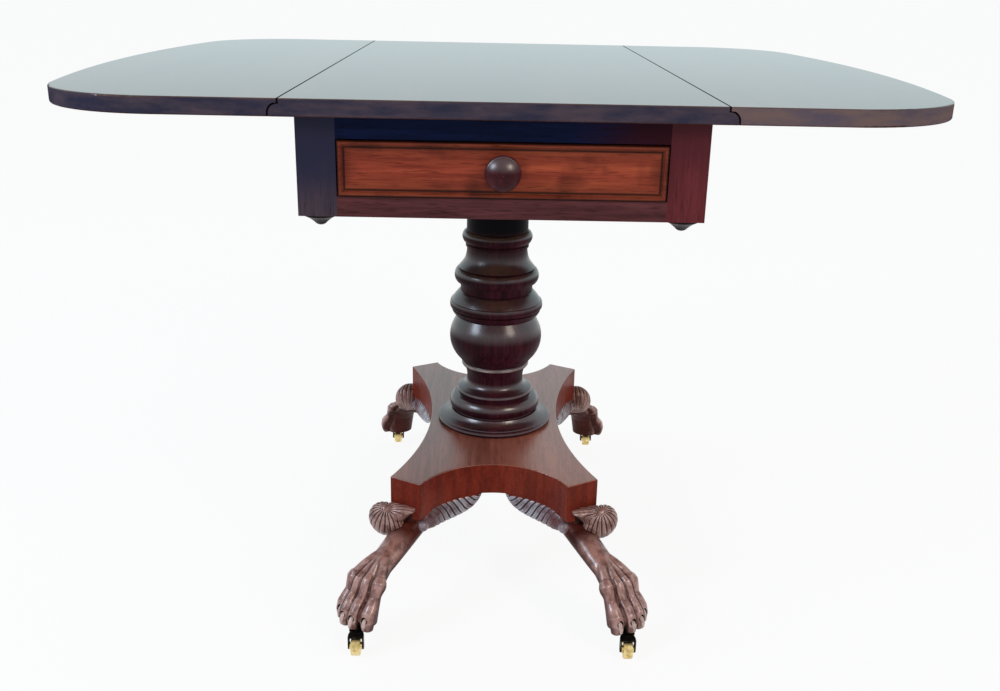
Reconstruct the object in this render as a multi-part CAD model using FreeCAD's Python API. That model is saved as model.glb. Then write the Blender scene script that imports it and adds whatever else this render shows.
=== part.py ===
"""Pembroke table: a drop-leaf table with one drawer on a turned column, a platform and four paw legs.

Millimetres, +Z up. The origin is on the floor below the middle of the top, with the drawer towards -Y.
Pieces that come in pairs are made for the right side (+X) or the front right corner and mirrored.
"""
import FreeCAD, Part
import math
import os
from FreeCAD import Vector

# Top: centre board and two leaves
table_height = 724.0
top_length = 914.0
top_width = 444.0
open_width = 1030.0
top_thickness = 18.0
leaf_corner_radius = 140.0
leaf_bow = 50.0
top_easing = 2.0

# Rule joint: a fillet and a quarter-round on the board, a cove on the leaf, about the hinge axis
rule_fillet = 4.5
rule_radius = 10.0
rule_clearance = 0.3

# Leaf hinges, let in flush from below, and their screws
hinge_length = 62.0
hinge_flap_thickness = 1.6
hinge_barrel_radius = 3.0
hinge_pin_radius = 1.3
hinge_pin_play = 0.08
hinge_clearance = 0.3
hinge_top_reach = 30.0
hinge_leaf_reach = 46.0
hinge_flap_gap = 1.0
hinge_place_shares = (-0.36, 0.0, 0.36)
screw_radius = 1.7
screw_head_radius = 3.2
screw_length = 11.0
screw_place_shares = (-0.32, 0.32)

# Frame under the top
frame_side_overhang = 13.0
frame_setback = 16.0
frame_height = 102.0
post_size = 40.0
top_rail_height = 22.5
bottom_rail_height = 21.0
rail_depth = 60.0
rear_rail_thickness = 20.0
outer_rail_thickness = 20.0
tenon_thickness = 8.0
tenon_shoulder = 4.0
tenon_wall = 1.0

# Fly brackets in the outer side rails
fly_length = 240.0
fly_height = 60.0
fly_pivot_y = -40.0
fly_clearance = 0.5
fly_pin_radius = 2.5
fly_pin_foot = 6.0
fly_pin_play = 0.1
fly_grip_depth = 14.0

# Drawer
drawer_length = 600.0
drawer_gap = 1.0
drawer_play = 0.3
drawer_front_thickness = 20.0
drawer_side_thickness = 12.0
drawer_side_drop = 6.0
drawer_bottom_thickness = 6.0
drawer_bottom_rise = 7.0
drawer_groove = 5.0
dovetail_length = 10.0
dovetail_width = 16.0
dovetail_flare = 2.5
dovetail_place_shares = (0.27, 0.73)
bead_width = 5.0
bead_depth = 9.0
runner_width = 20.0
runner_height = 12.0
top_screw_radius = 2.2
top_screw_head_radius = 4.2
top_screw_length = 34.0
top_screw_place_shares = (-0.3, 0.05, 0.4)

# Turned knob: profile as shares of its radius and length, from the drawer front outwards
knob_radius = 18.5
knob_length = 27.0
knob_tenon_radius = 6.0
knob_neck_share = 0.52
knob_collar_shares = (0.62, 0.1)
knob_waist_shares = (0.44, 0.3)
knob_under_shares = (0.8, 0.4)
knob_rim_shares = (1.0, 0.54)
knob_brow_shares = (0.9, 0.7)

# Turned drops under the posts
drop_radius = 17.5
drop_length = 13.0
drop_inset = 20.0
drop_dowel_radius = 4.0
drop_dowel_length = 12.0
drop_lip_share = 0.2
drop_flank_shares = (0.66, 0.45)
drop_waist_shares = (0.4, 0.73)

# Bearer and column
bearer_length = 170.0
bearer_thickness = 20.0
column_radius = 68.0
column_top_tenon_radius = 19.0
column_foot_tenon_radius = 26.0

# Column profile from the platform up. A line has an end, an arc a middle and an end.
# Each point is a share of column_radius and a share of the column's height.
column_foot_share = 1.225
column_profile_shares = (
    ((1.262, 0.008), (1.235, 0.018)),
    ((1.03, 0.027), (0.965, 0.047)),
    ((0.925, 0.05),),
    ((1.0, 0.076), (0.9, 0.104)),
    ((0.8, 0.108),),
    ((0.84, 0.121), (0.745, 0.134)),
    ((0.65, 0.141), (0.612, 0.155)),
    ((0.605, 0.184),),
    ((0.62, 0.197),),
    ((0.655, 0.199),),
    ((0.683, 0.205), (0.66, 0.211)),
    ((0.7, 0.2255), (0.765, 0.245)),
    ((0.916, 0.276), (0.994, 0.327)),
    ((0.956, 0.369), (0.845, 0.4075)),
    ((0.985, 0.447), (0.955, 0.475)),
    ((0.81, 0.4925), (0.763, 0.508)),
    ((0.763, 0.516),),
    ((0.8, 0.519),),
    ((0.828, 0.5255), (0.8, 0.532)),
    ((0.84, 0.5375),),
    ((0.905, 0.557), (0.85, 0.575)),
    ((0.69, 0.608), (0.635, 0.662)),
    ((0.655, 0.682),),
    ((0.745, 0.7), (0.655, 0.718)),
    ((0.66, 1.0),),
)

# Platform with hollow sides and canted corners
platform_top = 193.0
platform_thickness = 44.0
platform_half_width = 142.0
platform_half_length = 236.0
platform_easing = 1.5
cant_width = 43.0
cant_length = 24.0
front_hollow = 65.0
side_hollow = 45.0

# Legs: the foot stands out from the cant by the spread
leg_spread = 120.0
leg_block_width = 44.0
leg_tenon_size = 24.0
leg_tenon_height = 20.0

# Leg sections from the knee to the pad: place out from the cant as a share of the spread, height as a
# share of the room between pad and platform, half width and half depth as shares of the block width
leg_section_shares = (
    (-0.21, 1.08, 0.5, 0.53),
    (-0.19, 0.87, 0.5, 0.53),
    (-0.06, 0.74, 0.49, 0.5),
    (0.15, 0.67, 0.45, 0.41),
    (0.39, 0.58, 0.43, 0.36),
    (0.61, 0.51, 0.48, 0.35),
    (0.76, 0.41, 0.57, 0.39),
    (0.85, 0.24, 0.63, 0.46),
    (0.89, 0.09, 0.62, 0.51),
    (0.9, 0.0, 0.54, 0.48),
)
# Lean of each section in degrees (0 upright, 90 flat) and its squareness (2 is an ellipse)
leg_section_leans = (90.0, 90.0, 62.0, 32.0, 20.0, 28.0, 44.0, 66.0, 84.0, 90.0)
leg_section_squareness = (4.0, 3.4, 2.8, 2.3, 2.0, 2.0, 2.2, 2.4, 2.4, 2.4)
quarter_points = 3

# Toes: place across the paw as a share of the block width, reach as a share of the longest toe,
# and how far each toe is turned out in degrees
toe_length = 62.0
toe_radius = 10.0
toe_fall = 47.0
toe_root_share = 0.7
toe_height_share = 0.42
toe_shares = ((-0.5, 0.86), (-0.17, 1.0), (0.17, 1.0), (0.5, 0.86))
toe_turns = (-16.0, -5.0, 5.0, 16.0)

# Fan scroll at the outer corner of each knee
fan_radius = 23.0
fan_reach = 26.0
fan_turn = 30.0
fan_out_share = 0.05
fan_across_share = 0.6
fan_drop_share = 0.9

# Wing brackets under the platform's edges: share of the way from the leg to the tip,
# and the depth and width there as shares of the sizes below
wing_run = 104.0
wing_depth = 36.0
wing_width = 20.0
wing_proud = 3.0
wing_section_shares = (
    (0.0, 0.9, 0.9),
    (0.2, 1.0, 1.0),
    (0.5, 0.92, 0.92),
    (0.8, 0.56, 0.66),
    (1.0, 0.14, 0.3),
)
wing_points = 7

# Casters
wheel_radius = 12.5
wheel_width = 12.0
wheel_crown = 1.2
wheel_hub_radius = 5.0
wheel_hub_length = 16.0
wheel_play = 0.4
axle_radius = 1.8
axle_play = 0.1
fork_plate = 1.8
fork_width = 9.0
fork_head_gap = 0.9
fork_head_radius = 9.5
caster_trail = 12.0
swivel_clearance = 0.3
socket_plate_radius = 10.0
socket_plate_thickness = 2.0
socket_radius = 4.6
socket_depth = 16.0
stem_radius = 3.0
stem_play = 0.1

# Overrun of cutting shapes past the faces that they cut
overrun = 5.0

# Levels and lines that follow from the sizes above
half_length = top_length / 2
half_width = top_width / 2
half_open = open_width / 2
underside = table_height - top_thickness
hinge_z = table_height - rule_fillet - rule_radius
frame_half = half_width - frame_side_overhang
frame_front = -half_length + frame_setback
frame_rear = half_length - frame_setback
frame_bottom = underside - frame_height
post_inner = frame_half - post_size
post_front_back = frame_front + post_size
post_rear_front = frame_rear - post_size
opening_bottom = frame_bottom + bottom_rail_height
opening_top = underside - top_rail_height
outer_rail_inner = frame_half - outer_rail_thickness
rear_rail_front = frame_rear - rear_rail_thickness
rail_back = frame_front + rail_depth
cross_tenon_length = post_size - drop_inset - drop_dowel_radius - tenon_wall
side_tenon_length = (post_size - tenon_thickness) / 2 - tenon_wall
platform_bottom = platform_top - platform_thickness
cant_middle_x = platform_half_width - cant_width / 2
cant_middle_y = platform_half_length - cant_length / 2
fork_top = 2 * wheel_radius + fork_head_gap + fork_plate
paw_underside = fork_top + swivel_clearance + socket_plate_thickness
leg_root = math.hypot(cant_middle_x, cant_middle_y)
leg_angle = math.degrees(math.atan2(cant_middle_y, cant_middle_x))
foot_radius = leg_root + leg_spread
leg_rise = platform_bottom - paw_underside

X_AXIS = Vector(1, 0, 0)
Y_AXIS = Vector(0, 1, 0)
Z_AXIS = Vector(0, 0, 1)
ORIGIN = Vector(0, 0, 0)


def box(x0, x1, y0, y1, z0, z1):
    """Box between two corners given as ranges along each axis."""
    return Part.makeBox(x1 - x0, y1 - y0, z1 - z0, Vector(x0, y0, z0))


def rod(radius, start, end):
    """Cylinder between two points."""
    return Part.makeCylinder(radius, (end - start).Length, start, end - start)


def mirror_x(shape):
    """The same piece on the left side."""
    return shape.mirror(ORIGIN, X_AXIS)


def mirror_y(shape):
    """The same piece at the rear."""
    return shape.mirror(ORIGIN, Y_AXIS)


def fuse_all(shapes):
    """One solid from shapes that overlap or touch."""
    return shapes[0].multiFuse(shapes[1:]).removeSplitter()


def prism(points, along):
    """Straight prism on a closed polygon."""
    return Part.Face(Part.makePolygon(points + [points[0]])).extrude(along)


def lines_and_arcs(start, steps):
    """Edges from a start point: a step of one point is a line, of two points an arc through the first."""
    edges = []
    here = start
    for step in steps:
        if len(step) == 1:
            edges.append(Part.makeLine(here, step[0]))
        else:
            edges.append(Part.Arc(here, step[0], step[1]).toShape())
        here = step[-1]
    return edges


def cap_middle(edge, tip, axis):
    """Middle of the arc from an edge to the tip of a turned end, on a ball centred on the axis."""
    offset = edge - tip
    radius = offset.dot(offset) / (2 * offset.dot(axis))
    centre = tip + axis * radius
    half_way = (edge - centre) + (tip - centre)
    return centre + half_way.normalize() * radius


def countersunk_screw(head, along, radius, head_radius, length):
    """Screw with a flush cone head at a point, running along a direction."""
    head_height = head_radius - radius
    cone = Part.makeCone(head_radius, radius, head_height, head, along)
    return cone.fuse(Part.makeCylinder(radius, length, head, along)).removeSplitter()


def four_corners(front_right):
    """A piece of the front right corner and its three mirror images, by corner name."""
    rear_right = mirror_y(front_right)
    return {
        "front_right": front_right,
        "front_left": mirror_x(front_right),
        "rear_right": rear_right,
        "rear_left": mirror_x(rear_right),
    }


def caster_corners(front_right):
    """A caster piece of the front right foot, moved to all four feet with the same trail."""
    angle = math.radians(leg_angle)
    across = -2 * foot_radius * math.cos(angle)
    back = 2 * foot_radius * math.sin(angle)
    return {
        "front_right": front_right,
        "front_left": front_right.translated(Vector(across, 0, 0)),
        "rear_right": front_right.translated(Vector(0, back, 0)),
        "rear_left": front_right.translated(Vector(across, back, 0)),
    }


def rule_point(radius, degrees, y):
    """Point at an angle round the right hinge axis, where 0 is outwards and 90 is up."""
    angle = math.radians(degrees)
    return Vector(half_width + radius * math.cos(angle), y, hinge_z + radius * math.sin(angle))


def top_board_blank():
    """Centre board: straight ends, and the quarter-round of the rule joint along both sides."""
    drop = hinge_z - underside
    foot_degrees = -math.degrees(math.asin(drop / rule_radius))
    y = -half_length
    foot = rule_point(rule_radius, foot_degrees, y)
    crown = rule_point(rule_radius, 90.0, y)
    middle = rule_point(rule_radius, (90.0 + foot_degrees) / 2, y)
    edge_top = Vector(half_width, y, table_height)
    right = lines_and_arcs(foot, [(middle, crown), (edge_top,)])
    left = [edge.mirror(ORIGIN, X_AXIS) for edge in right]
    top = Part.makeLine(edge_top, Vector(-half_width, y, table_height))
    bottom = Part.makeLine(foot, Vector(-foot.x, y, underside))
    wire = Part.Wire(Part.__sortEdges__(right + left + [top, bottom]))
    board = Part.Face(wire).extrude(Y_AXIS * top_length)
    return board.makeFillet(top_easing, [edge for edge in board.Edges if edge.BoundBox.XLength > half_width])


def leaf_blank():
    """Right leaf: bowed outer edge, round corners, and the cove of the rule joint along its inner edge."""
    bow_radius = (half_length ** 2 + leaf_bow ** 2) / (2 * leaf_bow)
    bow_centre = half_open - bow_radius
    corner_y = half_length - leaf_corner_radius
    corner_x = bow_centre + math.sqrt((bow_radius - leaf_corner_radius) ** 2 - corner_y ** 2)
    turn = math.atan2(corner_y, corner_x - bow_centre)
    half_turn = (turn + math.pi / 2) / 2

    def on_corner(angle, side):
        x = corner_x + leaf_corner_radius * math.cos(angle)
        y = corner_y + leaf_corner_radius * math.sin(angle)
        return Vector(x, side * y, underside)

    inner_rear = Vector(half_width, half_length, underside)
    inner_front = Vector(half_width, -half_length, underside)
    steps = [
        (on_corner(math.pi / 2, -1),),
        (on_corner(half_turn, -1), on_corner(turn, -1)),
        (Vector(half_open, 0, underside), on_corner(turn, 1)),
        (on_corner(half_turn, 1), on_corner(math.pi / 2, 1)),
        (inner_rear,),
        (inner_front,),
    ]
    outline = Part.Wire(lines_and_arcs(inner_front, steps))
    slab = Part.Face(outline).extrude(Z_AXIS * top_thickness)
    rim = [edge for edge in slab.Edges if edge.BoundBox.ZLength < top_easing
           and edge.BoundBox.XMax > half_width + top_easing]
    slab = slab.makeFillet(top_easing, rim)
    cove = Part.makeCylinder(
        rule_radius + rule_clearance,
        top_length + 2 * overrun,
        Vector(half_width, -half_length - overrun, hinge_z),
        Y_AXIS,
    )
    reach = rule_radius + rule_clearance
    lip = box(half_width, half_width + reach, -half_length - overrun, half_length + overrun,
              underside - overrun, hinge_z)
    fillet = box(half_width - overrun, half_width + rule_clearance, -half_length - overrun,
                 half_length + overrun, hinge_z, table_height + overrun)
    return slab.cut(cove).cut(lip).cut(fillet)


def hinge_places():
    """Where the middles of the hinges lie along the joint."""
    return [share * top_length for share in hinge_place_shares]


def hinge_parts(y):
    """One right-hand table hinge: board flap, leaf flap, pin, screws in each, and the pockets for it."""
    flap_top = underside + hinge_flap_thickness
    start = y - hinge_length / 2
    end = y + hinge_length / 2
    third = hinge_length / 3
    gap = hinge_barrel_radius + hinge_flap_gap

    def flap(side, reach, spans):
        near = half_width + side * gap
        far = half_width + side * reach
        pieces = [box(min(near, far), max(near, far), start, end, underside, flap_top)]
        for y0, y1 in spans:
            ring = rod(hinge_barrel_radius, Vector(half_width, y0, hinge_z), Vector(half_width, y1, hinge_z))
            web = box(min(half_width, near), max(half_width, near), y0, y1, underside, flap_top)
            pieces += [ring, web]
        return fuse_all(pieces)

    def along_axis(radius):
        return rod(radius, Vector(half_width, start, hinge_z), Vector(half_width, end, hinge_z))

    play = hinge_clearance / 2
    first = start + third
    second = end - third
    board_flap = flap(-1, hinge_top_reach, [(start, first - play), (second + play, end)])
    leaf_flap = flap(1, hinge_leaf_reach, [(first + play, second - play)])
    pin = along_axis(hinge_pin_radius)
    board_flap = board_flap.cut(pin)
    leaf_flap = leaf_flap.cut(along_axis(hinge_pin_radius + hinge_pin_play))
    board_x = half_width - (gap + hinge_top_reach) / 2
    leaf_x = half_width + (rule_radius + hinge_leaf_reach) / 2
    board_screws = []
    leaf_screws = []
    for share in screw_place_shares:
        place = y + share * hinge_length
        board_screws.append(countersunk_screw(Vector(board_x, place, underside), Z_AXIS,
                                              screw_radius, screw_head_radius, screw_length))
        leaf_screws.append(countersunk_screw(Vector(leaf_x, place, underside), Z_AXIS,
                                             screw_radius, screw_head_radius, screw_length))
    for screw in board_screws:
        board_flap = board_flap.cut(screw)
    for screw in leaf_screws:
        leaf_flap = leaf_flap.cut(screw)
    room = hinge_barrel_radius + hinge_clearance
    barrel_pocket = box(half_width - gap, half_width + gap, start - hinge_clearance, end + hinge_clearance,
                        underside - overrun, hinge_z + room)
    board_recess = box(half_width - hinge_top_reach, half_width, start, end, underside - overrun, flap_top)
    leaf_recess_start = half_width + rule_radius - overrun
    flap_slot = box(half_width, half_width + hinge_leaf_reach, start - hinge_clearance,
                    end + hinge_clearance, underside - overrun, flap_top + hinge_clearance)
    leaf_recess = box(leaf_recess_start, half_width + hinge_leaf_reach, start, end,
                      underside - overrun, flap_top)
    return {
        "board_flap": board_flap,
        "leaf_flap": leaf_flap,
        "pin": pin,
        "board_screws": board_screws,
        "leaf_screws": leaf_screws,
        "board_cuts": [barrel_pocket, board_recess, flap_slot],
        "leaf_cuts": [leaf_recess],
    }


def make_top():
    """Centre board, leaves and their hinges."""
    board = top_board_blank()
    leaf = leaf_blank()
    hinges = [hinge_parts(y) for y in hinge_places()]
    for hinge in hinges:
        for cut in hinge["board_cuts"] + hinge["board_screws"]:
            board = board.cut(cut).cut(mirror_x(cut))
        for cut in hinge["leaf_cuts"] + hinge["leaf_screws"]:
            leaf = leaf.cut(cut)
    for screw in top_screws():
        board = board.cut(screw).cut(mirror_x(screw))
    flaps = [hinge["board_flap"] for hinge in hinges]
    pins = [hinge["pin"] for hinge in hinges]
    board_screws = [screw for hinge in hinges for screw in hinge["board_screws"]]
    leaf_flaps = [hinge["leaf_flap"] for hinge in hinges]
    leaf_screws = [screw for hinge in hinges for screw in hinge["leaf_screws"]]
    return {
        "top_board": board,
        "right_leaf": leaf,
        "left_leaf": mirror_x(leaf),
        "hinge_top_flaps": flaps + [mirror_x(flap) for flap in flaps],
        "hinge_pins": pins + [mirror_x(pin) for pin in pins],
        "hinge_top_screws": board_screws + [mirror_x(screw) for screw in board_screws],
        "right_hinge_leaf_flaps": leaf_flaps,
        "left_hinge_leaf_flaps": [mirror_x(flap) for flap in leaf_flaps],
        "right_hinge_leaf_screws": leaf_screws,
        "left_hinge_leaf_screws": [mirror_x(screw) for screw in leaf_screws],
    }


def cross_rail(y0, y1, z0, z1, tenon_y):
    """Rail between a left and a right post, with a tenon at each end."""
    reach = post_inner + cross_tenon_length
    tenon = box(-reach, reach, tenon_y - tenon_thickness / 2, tenon_y + tenon_thickness / 2,
                z0 + tenon_shoulder, z1 - tenon_shoulder)
    return fuse_all([box(-post_inner, post_inner, y0, y1, z0, z1), tenon])


def make_frame():
    """Posts, rails and drops."""
    front_tenon_y = frame_front + post_size / 2
    rear_tenon_y = frame_rear - rear_rail_thickness / 2
    top_rail = cross_rail(frame_front, rail_back, opening_top, underside, front_tenon_y)
    bottom_rail = cross_rail(frame_front, rail_back, frame_bottom, opening_bottom, front_tenon_y)
    rear_rail = cross_rail(rear_rail_front, frame_rear, frame_bottom, underside, rear_tenon_y)
    inner_middle = (post_inner + outer_rail_inner) / 2
    inner_tenon = box(inner_middle - tenon_thickness / 2, inner_middle + tenon_thickness / 2,
                      post_front_back - side_tenon_length, post_rear_front + side_tenon_length,
                      frame_bottom + tenon_shoulder, underside - tenon_shoulder)
    inner = fuse_all([
        box(post_inner, outer_rail_inner, post_front_back, post_rear_front, frame_bottom, underside),
        inner_tenon,
    ])
    drop, dowel = make_drop()
    post = box(post_inner, frame_half, frame_front, post_front_back, frame_bottom, underside)
    front_post = post.cut(top_rail).cut(bottom_rail).cut(inner).cut(dowel)
    rear_post = mirror_y(post).cut(rear_rail).cut(inner).cut(mirror_y(dowel))
    return {
        "front_top_rail": top_rail,
        "front_bottom_rail": bottom_rail,
        "rear_rail": rear_rail,
        "front_right_post": front_post,
        "front_left_post": mirror_x(front_post),
        "rear_right_post": rear_post,
        "rear_left_post": mirror_x(rear_post),
        "right_inner_rail": inner,
        "left_inner_rail": mirror_x(inner),
        "corner_drops": list(four_corners(drop).values()),
    }


def make_drop():
    """Turned drop under the front right post, and its dowel alone."""
    x = frame_half - drop_inset
    y = frame_front + drop_inset

    def at(radius_share, length_share):
        return Vector(x + radius_share * drop_radius, y, frame_bottom - length_share * drop_length)

    waist = at(*drop_waist_shares)
    tip = at(0, 1)
    steps = [
        (at(1, drop_lip_share),),
        (at(*drop_flank_shares), waist),
        (cap_middle(waist, tip, Z_AXIS), tip),
        (at(0, 0),),
        (at(1, 0),),
    ]
    face = Part.Face(Part.Wire(lines_and_arcs(at(1, 0), steps)))
    turned = face.revolve(Vector(x, y, 0), Z_AXIS, 360)
    dowel = rod(drop_dowel_radius, Vector(x, y, frame_bottom), Vector(x, y, frame_bottom + drop_dowel_length))
    return turned.fuse(dowel).removeSplitter(), dowel


def make_fly():
    """Outer side rail with its wooden knuckle, the fly that turns on it, and the pin, for both sides."""
    axis_x = frame_half - outer_rail_thickness / 2
    half = outer_rail_thickness / 2 - fly_clearance
    shoulder = outer_rail_thickness / 2 + fly_clearance
    fly_top = underside - fly_clearance
    fly_bottom = fly_top - fly_height
    notch_bottom = fly_bottom - fly_clearance
    third = fly_height / 3
    low = fly_bottom + third
    high = fly_top - third
    half_gap = fly_clearance / 2
    fly_end = fly_pivot_y + fly_length
    axis_low = Vector(axis_x, fly_pivot_y, notch_bottom - fly_pin_foot)
    axis_high = Vector(axis_x, fly_pivot_y, fly_top)

    def knuckle(z0, z1):
        return rod(half, Vector(axis_x, fly_pivot_y, z0), Vector(axis_x, fly_pivot_y, z1))

    rail = box(outer_rail_inner, frame_half, post_front_back, post_rear_front, frame_bottom, underside)
    notch = box(outer_rail_inner - overrun, frame_half + overrun, fly_pivot_y - shoulder,
                fly_end + 2 * fly_clearance, notch_bottom, underside + overrun)
    fingers = []
    for z0, z1 in ((notch_bottom, low - half_gap), (high + half_gap, underside)):
        fingers.append(knuckle(z0, z1))
        fingers.append(box(axis_x - half, axis_x + half, fly_pivot_y - shoulder, fly_pivot_y, z0, z1))
    rail = fuse_all([rail.cut(notch)] + fingers)
    arm = box(axis_x - half, axis_x + half, fly_pivot_y + shoulder, fly_end, fly_bottom, fly_top)
    web = box(axis_x - half, axis_x + half, fly_pivot_y, fly_pivot_y + shoulder, low + half_gap,
              high - half_gap)
    grip = prism([
        Vector(axis_x + half, fly_end, fly_bottom),
        Vector(axis_x + half, fly_end - fly_grip_depth, fly_bottom),
        Vector(axis_x, fly_end, fly_bottom),
    ], Z_AXIS * fly_height)
    fly = fuse_all([arm, web, knuckle(low + half_gap, high - half_gap)]).cut(grip)
    pin = rod(fly_pin_radius, axis_low, axis_high)
    rail = rail.cut(pin)
    fly = fly.cut(rod(fly_pin_radius + fly_pin_play, axis_low, axis_high + Z_AXIS * overrun))
    return {
        "right_outer_rail": rail,
        "left_outer_rail": mirror_x(rail),
        "right_fly": fly,
        "left_fly": mirror_x(fly),
        "fly_pins": [pin, mirror_x(pin)],
    }


def top_screws():
    """Screws of the right side, up through the kicker into the centre board."""
    x = post_inner - runner_width / 2
    return [
        countersunk_screw(Vector(x, share * top_length, opening_top), Z_AXIS, top_screw_radius,
                          top_screw_head_radius, top_screw_length)
        for share in top_screw_place_shares
    ]


def make_drawer_ways():
    """Runners below the drawer, kickers above it, the screws that hold the top, and the bearer."""
    runner_inner = post_inner - runner_width
    runner = box(runner_inner, post_inner, rail_back, rear_rail_front,
                 opening_bottom - runner_height, opening_bottom)
    kicker = box(runner_inner, post_inner, rail_back, rear_rail_front, opening_top, underside)
    screws = top_screws()
    for screw in screws:
        kicker = kicker.cut(screw)
    bearer = box(-post_inner, post_inner, -bearer_length / 2, bearer_length / 2,
                 frame_bottom, frame_bottom + bearer_thickness)
    bearer = bearer.cut(runner).cut(mirror_x(runner))
    bearer = bearer.cut(rod(column_top_tenon_radius, Vector(0, 0, frame_bottom - overrun),
                            Vector(0, 0, underside)))
    return {
        "right_drawer_runner": runner,
        "left_drawer_runner": mirror_x(runner),
        "right_kicker": kicker,
        "left_kicker": mirror_x(kicker),
        "top_screws": screws + [mirror_x(screw) for screw in screws],
        "column_bearer": bearer,
    }


def make_drawer():
    """Drawer front with its bead and knob, dovetailed sides, back and bottom."""
    half = post_inner - drawer_gap
    low = opening_bottom + drawer_play
    high = opening_top - drawer_gap
    face = frame_front
    front_back = face + drawer_front_thickness
    rear = face + drawer_length
    side_inner = half - drawer_side_thickness
    side_top = high - drawer_side_drop
    floor_low = low + drawer_bottom_rise
    floor_high = floor_low + drawer_bottom_thickness
    side_height = side_top - low
    floor_panel = box(-side_inner - drawer_groove, side_inner + drawer_groove, front_back - drawer_groove,
                      rear, floor_low, floor_high)
    side = box(side_inner, half, front_back, rear, low, side_top)
    tails = []
    for share in dovetail_place_shares:
        middle = low + share * side_height
        root = dovetail_width / 2 - dovetail_flare
        tip = dovetail_width / 2
        tails.append(prism([
            Vector(side_inner, front_back, middle - root),
            Vector(side_inner, front_back, middle + root),
            Vector(side_inner, front_back - dovetail_length, middle + tip),
            Vector(side_inner, front_back - dovetail_length, middle - tip),
        ], X_AXIS * drawer_side_thickness))
    side = fuse_all([side] + tails).cut(floor_panel)
    back = box(-side_inner, side_inner, rear - drawer_side_thickness, rear, floor_high, side_top)
    front = box(-half, half, face, front_back, low, high)
    bead = make_bead(half, low, high, face)
    knob = make_knob(face, (low + high) / 2, drawer_front_thickness)
    for cut in tails:
        front = front.cut(cut).cut(mirror_x(cut))
    for cut in bead + [floor_panel, knob]:
        front = front.cut(cut)
    return {
        "drawer_front": front,
        "drawer_bead": bead,
        "drawer_knob": knob,
        "drawer_right_side": side,
        "drawer_left_side": mirror_x(side),
        "drawer_back": back,
        "drawer_bottom": floor_panel,
    }


def make_bead(half, low, high, face):
    """Four mitred strips with a round nose, let into the edges of the drawer front."""
    tip = face - bead_width / 2
    back = face + bead_depth

    def strip(corner, across, along, length):
        def at(share, y):
            place = corner + across * (share * bead_width)
            return Vector(place.x, y, place.z)

        steps = [
            (at(0, face),),
            (at(0.5, tip), at(1, face)),
            (at(1, back),),
            (at(0, back),),
        ]
        bar = Part.Face(Part.Wire(lines_and_arcs(at(0, back), steps))).extrude(along * length)
        near = corner + across * bead_width
        mitre = prism([
            Vector(corner.x, tip, corner.z),
            Vector(corner.x, tip, corner.z) + along * length,
            Vector(near.x, tip, near.z) + along * (length - bead_width),
            Vector(near.x, tip, near.z) + along * bead_width,
        ], Y_AXIS * (back - tip))
        return bar.common(mitre)

    width = 2 * half
    height = high - low
    return [
        strip(Vector(-half, 0, low), Z_AXIS, X_AXIS, width),
        strip(Vector(-half, 0, high), -Z_AXIS, X_AXIS, width),
        strip(Vector(-half, 0, low), X_AXIS, Z_AXIS, height),
        strip(Vector(half, 0, low), -X_AXIS, Z_AXIS, height),
    ]


def make_knob(face, z, tenon):
    """Mushroom knob turned about the Y axis, with a round tenon through the drawer front."""

    def at(shares):
        return Vector(shares[0] * knob_radius, face - shares[1] * knob_length, z)

    steps = [
        (at(knob_collar_shares),),
        (at(knob_waist_shares), at(knob_under_shares)),
        (at(knob_rim_shares), at(knob_brow_shares)),
        (cap_middle(at(knob_brow_shares), at((0, 1)), Y_AXIS), at((0, 1))),
        (at((0, 0)),),
        (at((knob_neck_share, 0)),),
    ]
    face_wire = Part.Wire(lines_and_arcs(at((knob_neck_share, 0)), steps))
    turned = Part.Face(face_wire).revolve(Vector(0, face, z), Y_AXIS, 360)
    stem = rod(knob_tenon_radius, Vector(0, face, z), Vector(0, face + tenon, z))
    return turned.fuse(stem).removeSplitter()


def make_column():
    """Turned column with a tenon at each end."""
    height = frame_bottom - platform_top

    def at(shares):
        return Vector(shares[0] * column_radius, 0, platform_top + shares[1] * height)

    steps = [tuple(at(point) for point in step) for step in column_profile_shares]
    foot = at((column_foot_share, 0))
    edges = lines_and_arcs(foot, steps)
    top = steps[-1][-1]
    edges.append(Part.makeLine(top, Vector(0, 0, frame_bottom)))
    edges.append(Part.makeLine(Vector(0, 0, frame_bottom), Vector(0, 0, platform_top)))
    edges.append(Part.makeLine(Vector(0, 0, platform_top), foot))
    turned = Part.Face(Part.Wire(edges)).revolve(ORIGIN, Z_AXIS, 360)
    top_tenon = rod(column_top_tenon_radius, Vector(0, 0, frame_bottom),
                    Vector(0, 0, frame_bottom + bearer_thickness))
    foot_tenon = rod(column_foot_tenon_radius, Vector(0, 0, platform_bottom), Vector(0, 0, platform_top))
    return fuse_all([turned, top_tenon, foot_tenon])


def make_platform(leg_tenons):
    """Platform: hollow sides, canted corners, a hole for the column's tenon and mortises for the legs."""
    near_x = platform_half_width - cant_width
    near_y = platform_half_length - cant_length
    width = platform_half_width
    length = platform_half_length

    def at(x, y):
        return Vector(x, y, platform_bottom)

    steps = [
        (at(0, -length + front_hollow), at(near_x, -length)),
        (at(width, -near_y),),
        (at(width - side_hollow, 0), at(width, near_y)),
        (at(near_x, length),),
        (at(0, length - front_hollow), at(-near_x, length)),
        (at(-width, near_y),),
        (at(-width + side_hollow, 0), at(-width, -near_y)),
        (at(-near_x, -length),),
    ]
    face = Part.Face(Part.Wire(lines_and_arcs(at(-near_x, -length), steps)))
    plate = face.extrude(Z_AXIS * platform_thickness)
    plate = plate.makeFillet(platform_easing, [edge for edge in plate.Edges
                                               if edge.BoundBox.ZMax > platform_top - platform_easing])
    plate = plate.cut(rod(column_foot_tenon_radius, Vector(0, 0, platform_bottom - overrun),
                          Vector(0, 0, platform_top + overrun)))
    for tenon in leg_tenons:
        plate = plate.cut(tenon)
    return plate


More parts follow.
